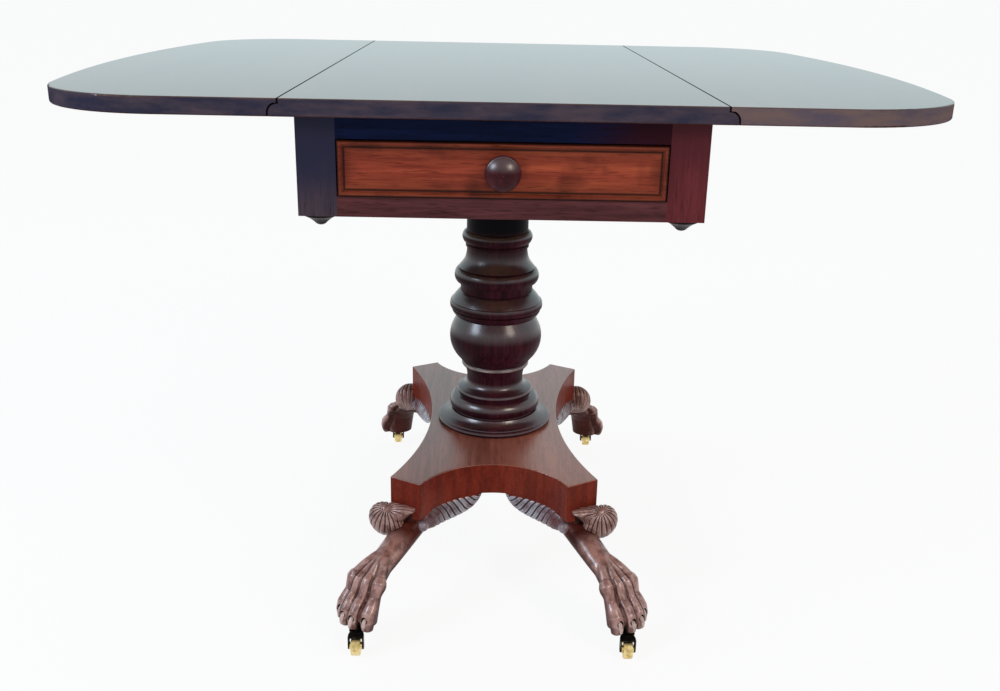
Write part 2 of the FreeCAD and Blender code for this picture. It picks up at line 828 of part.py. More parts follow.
def leg_ring(shares, lean, squareness):
    """Closed curve of one leg section, in the leg's own plane with X outwards and Y across."""
    along, up, half_across, half_deep = shares
    angle = math.radians(lean)
    centre = Vector(leg_root + along * leg_spread, 0, paw_underside + up * leg_rise)
    deep = Vector(math.sin(angle), 0, math.cos(angle))
    power = 2 / squareness
    points = []
    for index in range(4 * quarter_points):
        turn = math.pi / 2 * index / quarter_points
        across = math.copysign(abs(math.cos(turn)) ** power, math.cos(turn))
        depth = math.copysign(abs(math.sin(turn)) ** power, math.sin(turn))
        offset = Y_AXIS * (across * half_across) + deep * (depth * half_deep)
        points.append(centre + offset * leg_block_width)
    points.append(points[0])
    tangents = (deep, -Y_AXIS, -deep, Y_AXIS, deep)
    edges = []
    for quarter in range(4):
        first = quarter * quarter_points
        curve = Part.BSplineCurve()
        curve.interpolate(Points=points[first:first + quarter_points + 1],
                          InitialTangent=tangents[quarter], FinalTangent=tangents[quarter + 1])
        edges.append(curve.toShape())
    return Part.Wire(edges)


def egg(centre, along, reach, radius):
    """Egg-shaped solid of revolution about a line through its centre."""
    side = Y_AXIS.cross(along).normalize()
    half = Part.Ellipse(centre + along * reach, centre + side * radius, centre).toShape(0, math.pi)
    closing = Part.makeLine(half.Vertexes[-1].Point, half.Vertexes[0].Point)
    return Part.Face(Part.Wire([half, closing])).revolve(centre, along, 360)


def make_toes():
    """Toes of the paw, each an egg that falls from its knuckle to the floor, fanned out across the paw."""
    fall = math.radians(toe_fall)
    toes = []
    for (across, reach), turn in zip(toe_shares, toe_turns):
        angle = math.radians(turn)
        along = Vector(math.cos(fall) * math.cos(angle), math.cos(fall) * math.sin(angle), -math.sin(fall))
        knuckle = Vector(leg_root + toe_root_share * leg_spread, across * leg_block_width,
                         paw_underside + toe_height_share * leg_rise)
        half = reach * toe_length / 2
        toes.append(egg(knuckle + along * half, along, half, toe_radius))
    return toes


def make_fan():
    """Scroll that rolls out of the knee's outer corner below the platform."""
    angle = math.radians(fan_turn)
    along = Vector(math.cos(angle), math.sin(angle), 0)
    centre = Vector(leg_root + fan_out_share * leg_spread, fan_across_share * leg_block_width,
                    platform_bottom - fan_drop_share * fan_radius)
    scroll = egg(centre, along, fan_reach, fan_radius)
    room = fan_reach + fan_radius
    above = box(centre.x - room, centre.x + room, centre.y - room, centre.y + room,
                platform_bottom, platform_bottom + room)
    return scroll.cut(above)


def make_leg(socket):
    """Front right leg with its tenon, and the tenon alone."""
    rows = zip(leg_section_shares, leg_section_leans, leg_section_squareness)
    limb = Part.makeLoft([leg_ring(*row) for row in rows], True, False)
    room = box(0, foot_radius + leg_spread, -leg_spread, leg_spread, paw_underside - overrun, platform_bottom)
    tenon_x = leg_root + leg_section_shares[0][0] * leg_spread
    half = leg_tenon_size / 2
    tenon = box(tenon_x - half, tenon_x + half, -half, half, platform_bottom,
                platform_bottom + leg_tenon_height)
    leg = limb.common(room).fuse([make_fan(), tenon] + make_toes())
    leg.rotate(ORIGIN, Z_AXIS, -leg_angle)
    tenon.rotate(ORIGIN, Z_AXIS, -leg_angle)
    return leg.cut(socket), tenon


def make_wing(centre, radius, start, turn, inwards):
    """Bracket that hangs below an edge of the platform and tapers along its arc from leg to tip.

    The arc has a centre and a radius, start is the arc angle at the leg, turn is the way along it,
    and inwards gives the direction into the platform at an arc angle.
    """
    rings = []
    for along, depth_share, width_share in wing_section_shares:
        angle = start + turn * along * wing_run / radius
        inside = inwards(angle)
        edge = centre + inside * radius
        half = width_share * wing_width / 2
        depth = depth_share * wing_depth
        middle = edge + inside * (half - wing_proud)
        points = []
        for index in range(wing_points):
            sweep = math.pi * index / (wing_points - 1)
            points.append(middle - inside * (half * math.cos(sweep)) - Z_AXIS * (depth * math.sin(sweep)))
        belly = Part.BSplineCurve()
        belly.interpolate(Points=points)
        rings.append(Part.Wire([belly.toShape(), Part.makeLine(points[-1], points[0])]))
    return Part.makeLoft(rings, True, False)


def make_wings(leg):
    """The two brackets beside the front right leg, under the front edge and under the side edge."""
    near_x = platform_half_width - cant_width
    near_y = platform_half_length - cant_length
    base = Z_AXIS * platform_bottom
    front_radius = (near_x ** 2 + front_hollow ** 2) / (2 * front_hollow)
    front_centre = Vector(0, -platform_half_length + front_hollow - front_radius, 0) + base
    front = make_wing(front_centre, front_radius, math.asin(near_x / front_radius), -1,
                      lambda angle: Vector(math.sin(angle), math.cos(angle), 0))
    side_radius = (near_y ** 2 + side_hollow ** 2) / (2 * side_hollow)
    side_centre = Vector(platform_half_width - side_hollow + side_radius, 0, 0) + base
    side = make_wing(side_centre, side_radius, math.asin(near_y / side_radius), -1,
                     lambda angle: Vector(-math.cos(angle), -math.sin(angle), 0))
    return [max(wing.cut(leg).Solids, key=lambda solid: solid.Volume) for wing in (front, side)]


def make_caster():
    """Front right caster: socket in the paw, fork with stem and axle, and wheel."""
    angle = math.radians(leg_angle)
    x = foot_radius * math.cos(angle)
    y = -foot_radius * math.sin(angle)
    wheel_y = y - caster_trail
    plate_inner = wheel_hub_length / 2 + wheel_play
    plate_outer = plate_inner + fork_plate
    socket_top = paw_underside + socket_depth
    stem_top = socket_top - socket_plate_thickness

    def upright(radius, z0, z1):
        return rod(radius, Vector(x, y, z0), Vector(x, y, z1))

    def across(radius, half):
        return rod(radius, Vector(x - half, wheel_y, wheel_radius), Vector(x + half, wheel_y, wheel_radius))

    bore = upright(stem_radius + stem_play, fork_top, stem_top + stem_play)
    plate = upright(socket_plate_radius, fork_top + swivel_clearance, paw_underside)
    socket = fuse_all([plate, upright(socket_radius, paw_underside, socket_top)])
    head_middle = Vector(x, y - caster_trail / 2, fork_top - fork_plate)
    pieces = [
        Part.makeCylinder(fork_head_radius, fork_plate, head_middle, Z_AXIS),
        upright(stem_radius, fork_top - fork_plate, stem_top),
        across(axle_radius, plate_outer),
        box(x - plate_outer, x + plate_outer, wheel_y - fork_width / 2, wheel_y + fork_width / 2,
            fork_top - fork_plate, fork_top),
    ]
    for x0, x1 in ((-plate_outer, -plate_inner), (plate_inner, plate_outer)):
        pieces.append(box(x + x0, x + x1, wheel_y - fork_width / 2, wheel_y + fork_width / 2,
                          wheel_radius, fork_top))
        pieces.append(rod(fork_width / 2, Vector(x + x0, wheel_y, wheel_radius),
                          Vector(x + x1, wheel_y, wheel_radius)))
    fork = fuse_all(pieces)
    wheel = across(wheel_radius, wheel_width / 2)
    wheel = wheel.makeChamfer(wheel_crown, wheel.Edges)
    wheel = wheel.fuse(across(wheel_hub_radius, wheel_hub_length / 2))
    wheel = wheel.cut(across(axle_radius + axle_play, plate_outer))
    return socket.cut(bore), fork, wheel, socket


def save(name, shape):
    """Write one node: a solid, or a group of separate solids."""
    group = shape if isinstance(shape, list) else [shape]
    solids = [solid for item in group for solid in item.Solids]
    result = solids[0] if len(solids) == 1 else Part.makeCompound(solids)
    result.exportStep(os.path.join("parts", name + ".step"))
    volume = sum(solid.Volume for solid in solids)
    valid = all(solid.isValid() for solid in solids)
    print(f"{name}: {len(solids)} solid(s), {volume / 1000:.1f} cm3, valid {valid}")


def main():
    """Make every node and write it to its own file."""
    os.makedirs("parts", exist_ok=True)
    socket, fork, wheel, socket_blank = make_caster()
    leg, tenon = make_leg(socket_blank)
    nodes = {}
    nodes.update(make_top())
    nodes.update(make_frame())
    nodes.update(make_fly())
    nodes.update(make_drawer_ways())
    nodes.update(make_drawer())
    nodes["column"] = make_column()
    nodes["platform"] = make_platform(four_corners(tenon).values())
    wings = [four_corners(wing) for wing in make_wings(leg)]
    for corner, piece in four_corners(leg).items():
        nodes[corner + "_leg"] = piece
        nodes[corner + "_wings"] = [wing[corner] for wing in wings]
    nodes["caster_sockets"] = list(four_corners(socket).values())
    forks = caster_corners(fork)
    wheels = caster_corners(wheel)
    for corner in forks:
        nodes[corner + "_caster_fork"] = forks[corner]
        nodes[corner + "_caster_wheel"] = wheels[corner]
    for name, shape in nodes.items():
        save(name, shape)


main()
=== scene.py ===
"""Pembroke table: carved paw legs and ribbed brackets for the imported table, its finishes, light and camera."""
import logging
import math
from dataclasses import dataclass, field
from enum import Enum

import bpy
from mathutils import Matrix, Vector


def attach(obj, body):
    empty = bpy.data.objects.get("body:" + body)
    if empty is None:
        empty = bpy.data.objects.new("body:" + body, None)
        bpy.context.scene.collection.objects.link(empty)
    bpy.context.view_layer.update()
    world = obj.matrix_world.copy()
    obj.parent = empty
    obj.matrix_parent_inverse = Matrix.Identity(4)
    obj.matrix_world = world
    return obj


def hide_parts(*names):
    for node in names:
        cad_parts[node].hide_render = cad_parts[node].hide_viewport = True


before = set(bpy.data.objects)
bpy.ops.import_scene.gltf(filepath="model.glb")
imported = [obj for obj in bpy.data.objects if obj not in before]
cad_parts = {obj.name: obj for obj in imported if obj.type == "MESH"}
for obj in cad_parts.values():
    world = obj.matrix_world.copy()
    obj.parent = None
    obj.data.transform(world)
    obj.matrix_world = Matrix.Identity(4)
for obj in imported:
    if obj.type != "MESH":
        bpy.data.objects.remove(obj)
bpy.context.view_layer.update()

Finish = bpy.types.Material
Node = bpy.types.Node
Piece = bpy.types.Object
Tree = bpy.types.NodeTree

log = logging.getLogger("pembroke_table")
MM = 0.001
CARVED_CREASE = math.radians(55)


class Grain(Enum):
    """The way that the timber's fibres run, as the squeeze of a pattern along each axis."""

    ALONG_X = (0.06, 1.0, 1.0)
    ALONG_Y = (1.0, 0.06, 1.0)
    ALONG_Z = (1.0, 1.0, 0.06)
    ALL_WAYS = (0.5, 0.5, 0.5)


class Corner(Enum):
    """The four corners of the base, as the signs that carry the front right one to each."""

    FRONT_RIGHT = (1, 1)
    FRONT_LEFT = (-1, 1)
    REAR_RIGHT = (1, -1)
    REAR_LEFT = (-1, -1)

    @property
    def label(self) -> str:
        """The corner's name as the nodes spell it."""
        return self.name.lower()


def linear(code: str) -> tuple[float, float, float, float]:
    """Turn an sRGB hex colour to linear.

    Args:
        code: colour such as "#86433a".

    Returns:
        Linear red, green, blue and an alpha of one.
    """
    parts = [int(code[i:i + 2], 16) / 255 for i in (1, 3, 5)]
    red, green, blue = (c / 12.92 if c <= 0.04045 else ((c + 0.055) / 1.055) ** 2.4 for c in parts)
    return red, green, blue, 1.0


def add_node(tree: Tree, kind: str, settings: dict | None = None, inputs: dict | None = None) -> Node:
    """Add a node with its settings and links.

    Args:
        tree: node tree that takes it.
        kind: node type, without the ShaderNode that each begins with.
        settings: attributes to set; "stops" holds a ramp's places and colours.
        inputs: sockets to a value, to a node for its first output, or to a pair of a node and an output.

    Returns:
        The new node.
    """
    node = tree.nodes.new(f"ShaderNode{kind}")
    for name, value in (settings or {}).items():
        if name == "stops":
            ramp = node.color_ramp.elements
            while len(ramp) < len(value):
                ramp.new(0.5)
            for stop, (place, colour) in zip(ramp, value):
                stop.position = place
                stop.color = colour
        else:
            setattr(node, name, value)
    for key, value in (inputs or {}).items():
        if isinstance(value, Node):
            value = (value, 0)
        if isinstance(value, tuple) and isinstance(value[0], Node):
            tree.links.new(value[0].outputs[value[1]], node.inputs[key])
        else:
            node.inputs[key].default_value = value
    return node


def new_material(name: str) -> tuple[Finish, Tree, Node]:
    """Start a material with one shader.

    Args:
        name: the material's name.

    Returns:
        The material, its tree and its shader.
    """
    material = bpy.data.materials.new(name)
    material.use_nodes = True
    tree = material.node_tree
    tree.nodes.clear()
    shader = add_node(tree, "BsdfPrincipled")
    add_node(tree, "OutputMaterial", inputs={"Surface": shader})
    return material, tree, shader


@dataclass(frozen=True)
class Mahogany:
    """Mahogany, stained and French polished, and dulled with age by rubbing.

    The eye sees fine streaks and short dark pores along the grain, slow patches of stain, and a soft gloss.
    """

    name: str
    deep: str
    body: str
    bright: str
    grain: Grain
    patch_mm: float = 90.0
    streak_mm: float = 5.0
    pore_mm: float = 1.1
    roughness: float = 0.36
    specular: float = 0.1
    gloss: float = 0.0
    gloss_roughness: float = 0.1
    gloss_ior: float = 1.5
    relief: float = 0.12

    def material(self) -> Finish:
        """Make the finish as a material.

        Returns:
            The material.
        """
        material, tree, shader = new_material(self.name)
        squeeze = tuple(share / MM for share in self.grain.value)
        place = add_node(tree, "TexCoord")
        along = add_node(tree, "Mapping", inputs={"Vector": (place, "Object"), "Scale": squeeze})
        sway = add_node(tree, "TexNoise", inputs={
            "Vector": along, "Scale": 1 / (2.5 * self.patch_mm), "Detail": 2.0})
        swayed = add_node(tree, "VectorMath", {"operation": "MULTIPLY_ADD"}, {
            0: (sway, "Color"), 1: (self.patch_mm * 0.5,) * 3, 2: along})
        patch = add_node(tree, "TexNoise", inputs={
            "Vector": swayed, "Scale": 1 / self.patch_mm, "Detail": 3.0, "Roughness": 0.55})
        streak = add_node(tree, "TexNoise", inputs={
            "Vector": swayed, "Scale": 1 / self.streak_mm, "Detail": 5.0, "Roughness": 0.62})
        pore = add_node(tree, "TexNoise", inputs={
            "Vector": swayed, "Scale": 1 / self.pore_mm, "Detail": 1.0})
        blend = add_node(tree, "Mix", {"data_type": "FLOAT"}, {
            0: 0.42, 2: patch, 3: streak})
        tone = add_node(tree, "ValToRGB", {"stops": [
            (0.36, linear(self.deep)), (0.5, linear(self.body)), (0.64, linear(self.bright))]},
            {"Fac": blend})
        pit = add_node(tree, "MapRange", inputs={
            "Value": pore, "From Min": 0.58, "From Max": 0.72, "To Min": 0.0, "To Max": 0.6})
        colour = add_node(tree, "Mix", {"data_type": "RGBA", "blend_type": "MULTIPLY"}, {
            0: pit, 6: tone, 7: linear("#6b4a40")})
        rough = add_node(tree, "MapRange", inputs={
            "Value": blend, "From Min": 0.3, "From Max": 0.7,
            "To Min": self.roughness * 1.2, "To Max": self.roughness * 0.8})
        tree.links.new(rough.outputs["Result"], shader.inputs["Roughness"])
        bump = add_node(tree, "Bump", inputs={
            "Strength": self.relief, "Distance": 0.2 * MM, "Height": streak})
        tree.links.new(bump.outputs["Normal"], shader.inputs["Normal"])
        shader.inputs["Specular IOR Level"].default_value = self.specular
        shader.inputs["Coat Weight"].default_value = self.gloss
        shader.inputs["Coat Roughness"].default_value = self.gloss_roughness
        shader.inputs["Coat IOR"].default_value = self.gloss_ior
        colour = self.tint(tree, place, shader, colour)
        tree.links.new(colour.outputs[2], shader.inputs["Base Color"])
        return material

    def tint(self, tree: Tree, place: Node, shader: Node, colour: Node) -> Node:
        """Change the colour by place; plain boards leave it as it is.

        Args:
            tree: the material's tree.
            place: its coordinates.
            shader: its shader.
            colour: the colour so far.

        Returns:
            The node that gives the colour.
        """
        return colour


@dataclass(frozen=True)
class EdgedMahogany(Mahogany):
    """A board polished on its face, whose upright edges are dull and take a darker, mottled tone; on the top's
    boards that tone is painted shade with a painted bluish reflection.
    """

    rim: str = "#1d1214"
    rim_patch: str = "#3a2a2c"
    rim_grain_mm: tuple[float, float, float] = (60.0, 60.0, 14.0)

    def tint(self, tree: Tree, place: Node, shader: Node, colour: Node) -> Node:
        """Paint the darker tone on the upright edges and dull them; arguments and result as for a plain board."""
        spread = add_node(tree, "Mapping", inputs={
            "Vector": (place, "Object"), "Scale": tuple(1 / (size * MM) for size in self.rim_grain_mm)})
        mottle = add_node(tree, "TexNoise", inputs={
            "Vector": spread, "Scale": 1.0, "Detail": 4.0, "Roughness": 0.6})
        edge = add_node(tree, "ValToRGB", {"stops": [
            (0.4, linear(self.rim)), (0.62, linear(self.rim_patch))]}, {"Fac": mottle})
        split = add_node(tree, "SeparateXYZ", inputs={"Vector": (place, "Normal")})
        slope = add_node(tree, "Math", {"operation": "ABSOLUTE"}, {0: (split, "Z")})
        upright = add_node(tree, "MapRange", inputs={
            "Value": slope, "From Min": 0.3, "From Max": 0.8, "To Min": 0.8, "To Max": 0.0})
        polish = add_node(tree, "MapRange", inputs={
            "Value": (split, "Z"), "From Min": 0.3, "From Max": 0.8, "To Min": 0.0, "To Max": self.gloss})
        tree.links.new(polish.outputs["Result"], shader.inputs["Coat Weight"])
        # Upright faces take the rim tones: on the top's boards these are painted shade and a painted bluish
        # reflection.
        return add_node(tree, "Mix", {"data_type": "RGBA"}, {
            0: upright, 6: (colour, 2), 7: edge})


@dataclass(frozen=True)
class JointedMahogany(EdgedMahogany):
    """A board of the top, with painted shade along the gap of the rule joint where board and leaf meet."""

    dirt: str = "#0b0608"
    joint_x_mm: float = 222.15
    joint_z_mm: float = 709.5
    joint_radius_mm: float = 10.15
    face_z_mm: float = 722.0
    core_mm: float = 0.7
    fade_mm: float = 1.3
    start_mm: float = -1.4

    def tint(self, tree: Tree, place: Node, shader: Node, colour: Node) -> Node:
        """Paint the shade of the joint's gap on the faces beside it; arguments and result as for a plain board."""
        colour = super().tint(tree, place, shader, colour)
        radius = self.joint_radius_mm * MM
        where = add_node(tree, "SeparateXYZ", inputs={"Vector": (place, "Object")})
        facing = add_node(tree, "SeparateXYZ", inputs={"Vector": (place, "Normal")})
        aside = add_node(tree, "Math", {"operation": "ABSOLUTE"}, {0: (where, "X")})
        out = add_node(tree, "Math", {"operation": "SUBTRACT"}, {0: aside, 1: self.joint_x_mm * MM})
        rise = add_node(tree, "Math", {"operation": "SUBTRACT"}, {0: (where, "Z"), 1: self.joint_z_mm * MM})
        wide = add_node(tree, "Math", {"operation": "MAXIMUM"}, {0: out, 1: 0.0})
        high = add_node(tree, "Math", {"operation": "MAXIMUM"}, {0: rise, 1: 0.0})
        spoke = add_node(tree, "CombineXYZ", inputs={"X": wide, "Y": high})
        reach = add_node(tree, "VectorMath", {"operation": "LENGTH"}, {0: spoke})
        past = add_node(tree, "Math", {"operation": "SUBTRACT"}, {0: (reach, "Value"), 1: radius})
        arc = add_node(tree, "Math", {"operation": "ABSOLUTE"}, {0: past})
        step = add_node(tree, "Math", {"operation": "ABSOLUTE"}, {0: out})
        above = add_node(tree, "Math", {"operation": "GREATER_THAN"}, {0: rise, 1: radius})
        gap = add_node(tree, "Mix", {"data_type": "FLOAT"}, {0: above, 2: arc, 3: step})
        end = add_node(tree, "Math", {"operation": "ABSOLUTE"}, {0: (facing, "Y")})
        face = add_node(tree, "Math", {"operation": "GREATER_THAN"}, {0: (where, "Z"), 1: self.face_z_mm * MM})
        shown = add_node(tree, "Math", {"operation": "MAXIMUM"}, {0: end, 1: face})
        # The dark line along the joint is painted shade of the gap between board and leaf.
        line = add_node(tree, "MapRange", inputs={
            "Value": gap, "From Min": self.core_mm * MM, "From Max": self.fade_mm * MM,
            "To Min": 1.0, "To Max": 0.0})
        outside = add_node(tree, "Math", {"operation": "GREATER_THAN"}, {0: out, 1: self.start_mm * MM})
        open_to_gap_shade = add_node(tree, "Math", {"operation": "MULTIPLY"}, {0: shown, 1: outside})
        share = add_node(tree, "Math", {"operation": "MULTIPLY"}, {0: line, 1: open_to_gap_shade})
        # The coat is taken off where the joint's painted shade lies.
        free_of_gap_shade = add_node(tree, "Math", {"operation": "SUBTRACT"}, {0: 1.0, 1: share})
        polish = shader.inputs["Coat Weight"].links[0].from_node
        left = add_node(tree, "Math", {"operation": "MULTIPLY"}, {0: polish, 1: free_of_gap_shade})
        tree.links.new(left.outputs["Value"], shader.inputs["Coat Weight"])
        return add_node(tree, "Mix", {"data_type": "RGBA"}, {
            0: share, 6: (colour, 2), 7: linear(self.dirt)})


@dataclass(frozen=True)
class DriftingMahogany(Mahogany):
    """A board whose tone drifts to another along one axis; on the posts the far tone is a painted shade that
    darkens them towards the top.
    """

    far: str = "#2b1413"
    axis: str = "Z"
    start_mm: float = 600.0
    end_mm: float = 700.0

    def tint(self, tree: Tree, place: Node, shader: Node, colour: Node) -> Node:
        """Drift to the far tone; arguments and result as for a plain board."""
        cloud = add_node(tree, "TexNoise", inputs={
            "Vector": (place, "Object"), "Scale": 1 / (25 * MM), "Detail": 3.0})
        split = add_node(tree, "SeparateXYZ", inputs={"Vector": (place, "Object")})
        ragged = add_node(tree, "Math", {"operation": "MULTIPLY_ADD"}, {
            0: cloud, 1: (self.end_mm - self.start_mm) * 0.5 * MM, 2: (split, self.axis)})
        # On the posts this drift is painted shade towards the top, under the top's overhang; on the front top rail
        # it is a red tone towards the right end.
        share = add_node(tree, "MapRange", {"interpolation_type": "SMOOTHSTEP"}, {
            "Value": ragged, "From Min": self.start_mm * MM, "From Max": self.end_mm * MM})
        return add_node(tree, "Mix", {"data_type": "RGBA"}, {
            0: share, 6: (colour, 2), 7: linear(self.far)})


@dataclass(frozen=True)
class FramedMahogany(Mahogany):
    """A drawer front inside a bead: painted shade lies dark along the bead's quirks and fades from the border
    towards the field.
    """

    half_x_mm: float = 168.0
    middle_z_mm: float = 653.9
    half_z_mm: float = 28.6
    fade_mm: float = 30.0
    blot: str = "#3a0f0b"
    blot_mm: float = 48.0
    greys: tuple[tuple[float, str], ...] = (
        (0.0, "#484848"), (1.2, "#505050"), (2.2, "#bcbcbc"), (5.6, "#bcbcbc"), (6.4, "#585858"),
        (7.6, "#585858"), (8.6, "#c4c4c4"), (15.0, "#e0e0e0"), (26.0, "#ffffff"))

    def tint(self, tree: Tree, place: Node, shader: Node, colour: Node) -> Node:
        """Paint shade in the quirks and along the border, and darken a few blots; arguments and result as for a
        plain board.
        """
        split = add_node(tree, "SeparateXYZ", inputs={"Vector": (place, "Object")})
        aside = add_node(tree, "Math", {"operation": "ABSOLUTE"}, {0: (split, "X")})
        side = add_node(tree, "Math", {"operation": "SUBTRACT"}, {0: self.half_x_mm * MM, 1: aside})
        level = add_node(tree, "Math", {"operation": "SUBTRACT"}, {0: (split, "Z"), 1: self.middle_z_mm * MM})
        rise = add_node(tree, "Math", {"operation": "ABSOLUTE"}, {0: level})
        brim = add_node(tree, "Math", {"operation": "SUBTRACT"}, {0: self.half_z_mm * MM, 1: rise})
        inward = add_node(tree, "Math", {"operation": "MINIMUM"}, {0: side, 1: brim})
        depth = add_node(tree, "Math", {"operation": "DIVIDE"}, {0: inward, 1: self.fade_mm * MM})
        # The greys are painted shade: dark lines in the bead's quirks and a shade that fades from the border
        # inwards.
        shade = add_node(tree, "ValToRGB", {"stops": [
            (inset / self.fade_mm, linear(grey)) for inset, grey in self.greys]}, {"Fac": depth})
        cloud = add_node(tree, "TexNoise", inputs={
            "Vector": (place, "Object"), "Scale": 1 / (self.blot_mm * MM), "Detail": 3.0, "Roughness": 0.55})
        share = add_node(tree, "MapRange", inputs={
            "Value": cloud, "From Min": 0.54, "From Max": 0.68, "To Min": 0.0, "To Max": 0.45})
        blotted = add_node(tree, "Mix", {"data_type": "RGBA"}, {
            0: share, 6: (colour, 2), 7: linear(self.blot)})
        return add_node(tree, "Mix", {"data_type": "RGBA", "blend_type": "MULTIPLY"}, {
            0: 1.0, 6: (blotted, 2), 7: shade})


@dataclass(frozen=True)
class WaxedMahogany(Mahogany):
    """Turned mahogany, waxed where a cloth reaches it from above and dull on its undersides."""

    def tint(self, tree: Tree, place: Node, shader: Node, colour: Node) -> Node:
        """Keep the wax off the undersides; arguments and result as for a plain board."""
        split = add_node(tree, "SeparateXYZ", inputs={"Vector": (place, "Normal")})
        wax = add_node(tree, "MapRange", {"interpolation_type": "SMOOTHSTEP"}, {
            "Value": (split, "Z"), "From Min": 0.02, "From Max": 0.42, "To Min": 0.0, "To Max": self.gloss})
        tree.links.new(wax.outputs["Result"], shader.inputs["Coat Weight"])
        return colour


@dataclass(frozen=True)
class TurnedMahogany(WaxedMahogany):
    """The column's mahogany, with one bead pale with wear and a painted highlight, and a painted shade on the neck
    under the frame.
    """

    line: str = "#b7aaa6"
    line_mm: float = 285.2
    line_half_mm: float = 1.6
    shade: str = "#07050a"
    shade_start_mm: float = 482.0
    shade_end_mm: float = 496.0

    def tint(self, tree: Tree, place: Node, shader: Node, colour: Node) -> Node:
        """Draw the pale bead and the painted shade on the neck; arguments and result as for a plain board."""
        colour = super().tint(tree, place, shader, colour)
        split = add_node(tree, "SeparateXYZ", inputs={"Vector": (place, "Object")})
        # Painted shade on the neck under the frame.
        dark = add_node(tree, "MapRange", inputs={
            "Value": (split, "Z"), "From Min": self.shade_start_mm * MM, "From Max": self.shade_end_mm * MM})
        colour = add_node(tree, "Mix", {"data_type": "RGBA"}, {
            0: dark, 6: (colour, 2), 7: linear(self.shade)})
        # A thin pale line on one bead: wear and a painted highlight.
        away = add_node(tree, "Math", {"operation": "COMPARE"}, {
            0: (split, "Z"), 1: self.line_mm * MM, 2: self.line_half_mm * MM})
        worn_and_lit = add_node(tree, "TexNoise", inputs={
            "Vector": (place, "Object"), "Scale": 1 / (14 * MM), "Detail": 3.0})
        share = add_node(tree, "Math", {"operation": "MULTIPLY"}, {0: away, 1: worn_and_lit})
        return add_node(tree, "Mix", {"data_type": "RGBA"}, {
            0: share, 6: (colour, 2), 7: linear(self.line)})


@dataclass(frozen=True)
class CarvedMahogany(Mahogany):
    """Carved mahogany: the cuts are dark with old polish and painted shade; the rubbed places are pale with wear
    and a painted sheen, and their ridges paler still with wear and a painted highlight.
    """

    # The hollow tone is old polish and painted shade in the cuts.
    hollow: str = "#140907"
    rubbed: str = "#a5786f"
    ridge_wear_and_highlight: str = "#e8d2ca"

    def tint(self, tree: Tree, place: Node, shader: Node, colour: Node) -> Node:
        """Paint wear and sheen on the forms that stand out, a highlight on their ridges and shade in the cuts;
        arguments and result as for a plain board.
        """
        shape = add_node(tree, "NewGeometry")
        wear_and_sheen_mask = add_node(tree, "Attribute", {"attribute_name": "rubbed"})
        cut = add_node(tree, "Attribute", {"attribute_name": "cut"})
        cloud = add_node(tree, "TexNoise", inputs={
            "Vector": (place, "Object"), "Scale": 1 / (13 * MM), "Detail": 3.0, "Roughness": 0.6})
        uneven = add_node(tree, "MapRange", inputs={
            "Value": cloud, "From Min": 0.36, "From Max": 0.58, "To Min": 0.38, "To Max": 1.0})
        # Pale places: wear and a painted sheen.
        wear_and_sheen_share = add_node(tree, "Math", {"operation": "MULTIPLY"}, {
            0: (wear_and_sheen_mask, "Fac"), 1: uneven})
        worn_and_lit = add_node(tree, "Mix", {"data_type": "RGBA"}, {
            0: wear_and_sheen_share, 6: (colour, 2), 7: linear(self.rubbed)})
        # A painted highlight, over wear, on the ridges of the pale places.
        raised = add_node(tree, "MapRange", inputs={
            "Value": (shape, "Pointiness"), "From Min": 0.505, "From Max": 0.56, "To Min": 0.0, "To Max": 0.85})
        ridge_share = add_node(tree, "Math", {"operation": "MULTIPLY"}, {
            0: raised, 1: wear_and_sheen_share})
        pale = add_node(tree, "Mix", {"data_type": "RGBA"}, {
            0: ridge_share, 6: (worn_and_lit, 2), 7: linear(self.ridge_wear_and_highlight)})
        # The cuts are painted dark: old polish and painted shade.
        sunk = add_node(tree, "MapRange", inputs={
            "Value": (shape, "Pointiness"), "From Min": 0.42, "From Max": 0.495, "To Min": 0.9, "To Max": 0.0})
        dark_share = add_node(tree, "Math", {"operation": "MAXIMUM"}, {
            0: sunk, 1: (cut, "Fac")})
        open_share = add_node(tree, "Math", {"operation": "SUBTRACT", "use_clamp": True}, {
            0: wear_and_sheen_share, 1: dark_share})
        sheen = add_node(tree, "Math", {"operation": "MULTIPLY"}, {0: open_share, 1: self.gloss})
        tree.links.new(sheen.outputs["Value"], shader.inputs["Coat Weight"])
        return add_node(tree, "Mix", {"data_type": "RGBA"}, {
            0: dark_share, 6: (pale, 2), 7: linear(self.hollow)})


@dataclass(frozen=True)
class Deal:
    """Plain softwood left bare inside the frame: pale, with broad rings and no gloss."""

    name: str
    pale: str
    ring: str
    grain: Grain
    ring_mm: float = 9.0
    roughness: float = 0.62

    def material(self) -> Finish:
        """Make the finish as a material.

        Returns:
            The material.
        """
        material, tree, shader = new_material(self.name)
        squeeze = tuple(share / MM for share in self.grain.value)
        place = add_node(tree, "TexCoord")
        along = add_node(tree, "Mapping", inputs={"Vector": (place, "Object"), "Scale": squeeze})
        rings = add_node(tree, "TexNoise", inputs={
            "Vector": along, "Scale": 1 / self.ring_mm, "Detail": 4.0, "Roughness": 0.5})
        tone = add_node(tree, "ValToRGB", {"stops": [
            (0.35, linear(self.ring)), (0.62, linear(self.pale))]}, {"Fac": rings})
        bump = add_node(tree, "Bump", inputs={
            "Strength": 0.2, "Distance": 0.3 * MM, "Height": rings})
        tree.links.new(tone.outputs["Color"], shader.inputs["Base Color"])
        tree.links.new(bump.outputs["Normal"], shader.inputs["Normal"])
        shader.inputs["Roughness"].default_value = self.roughness
        return material


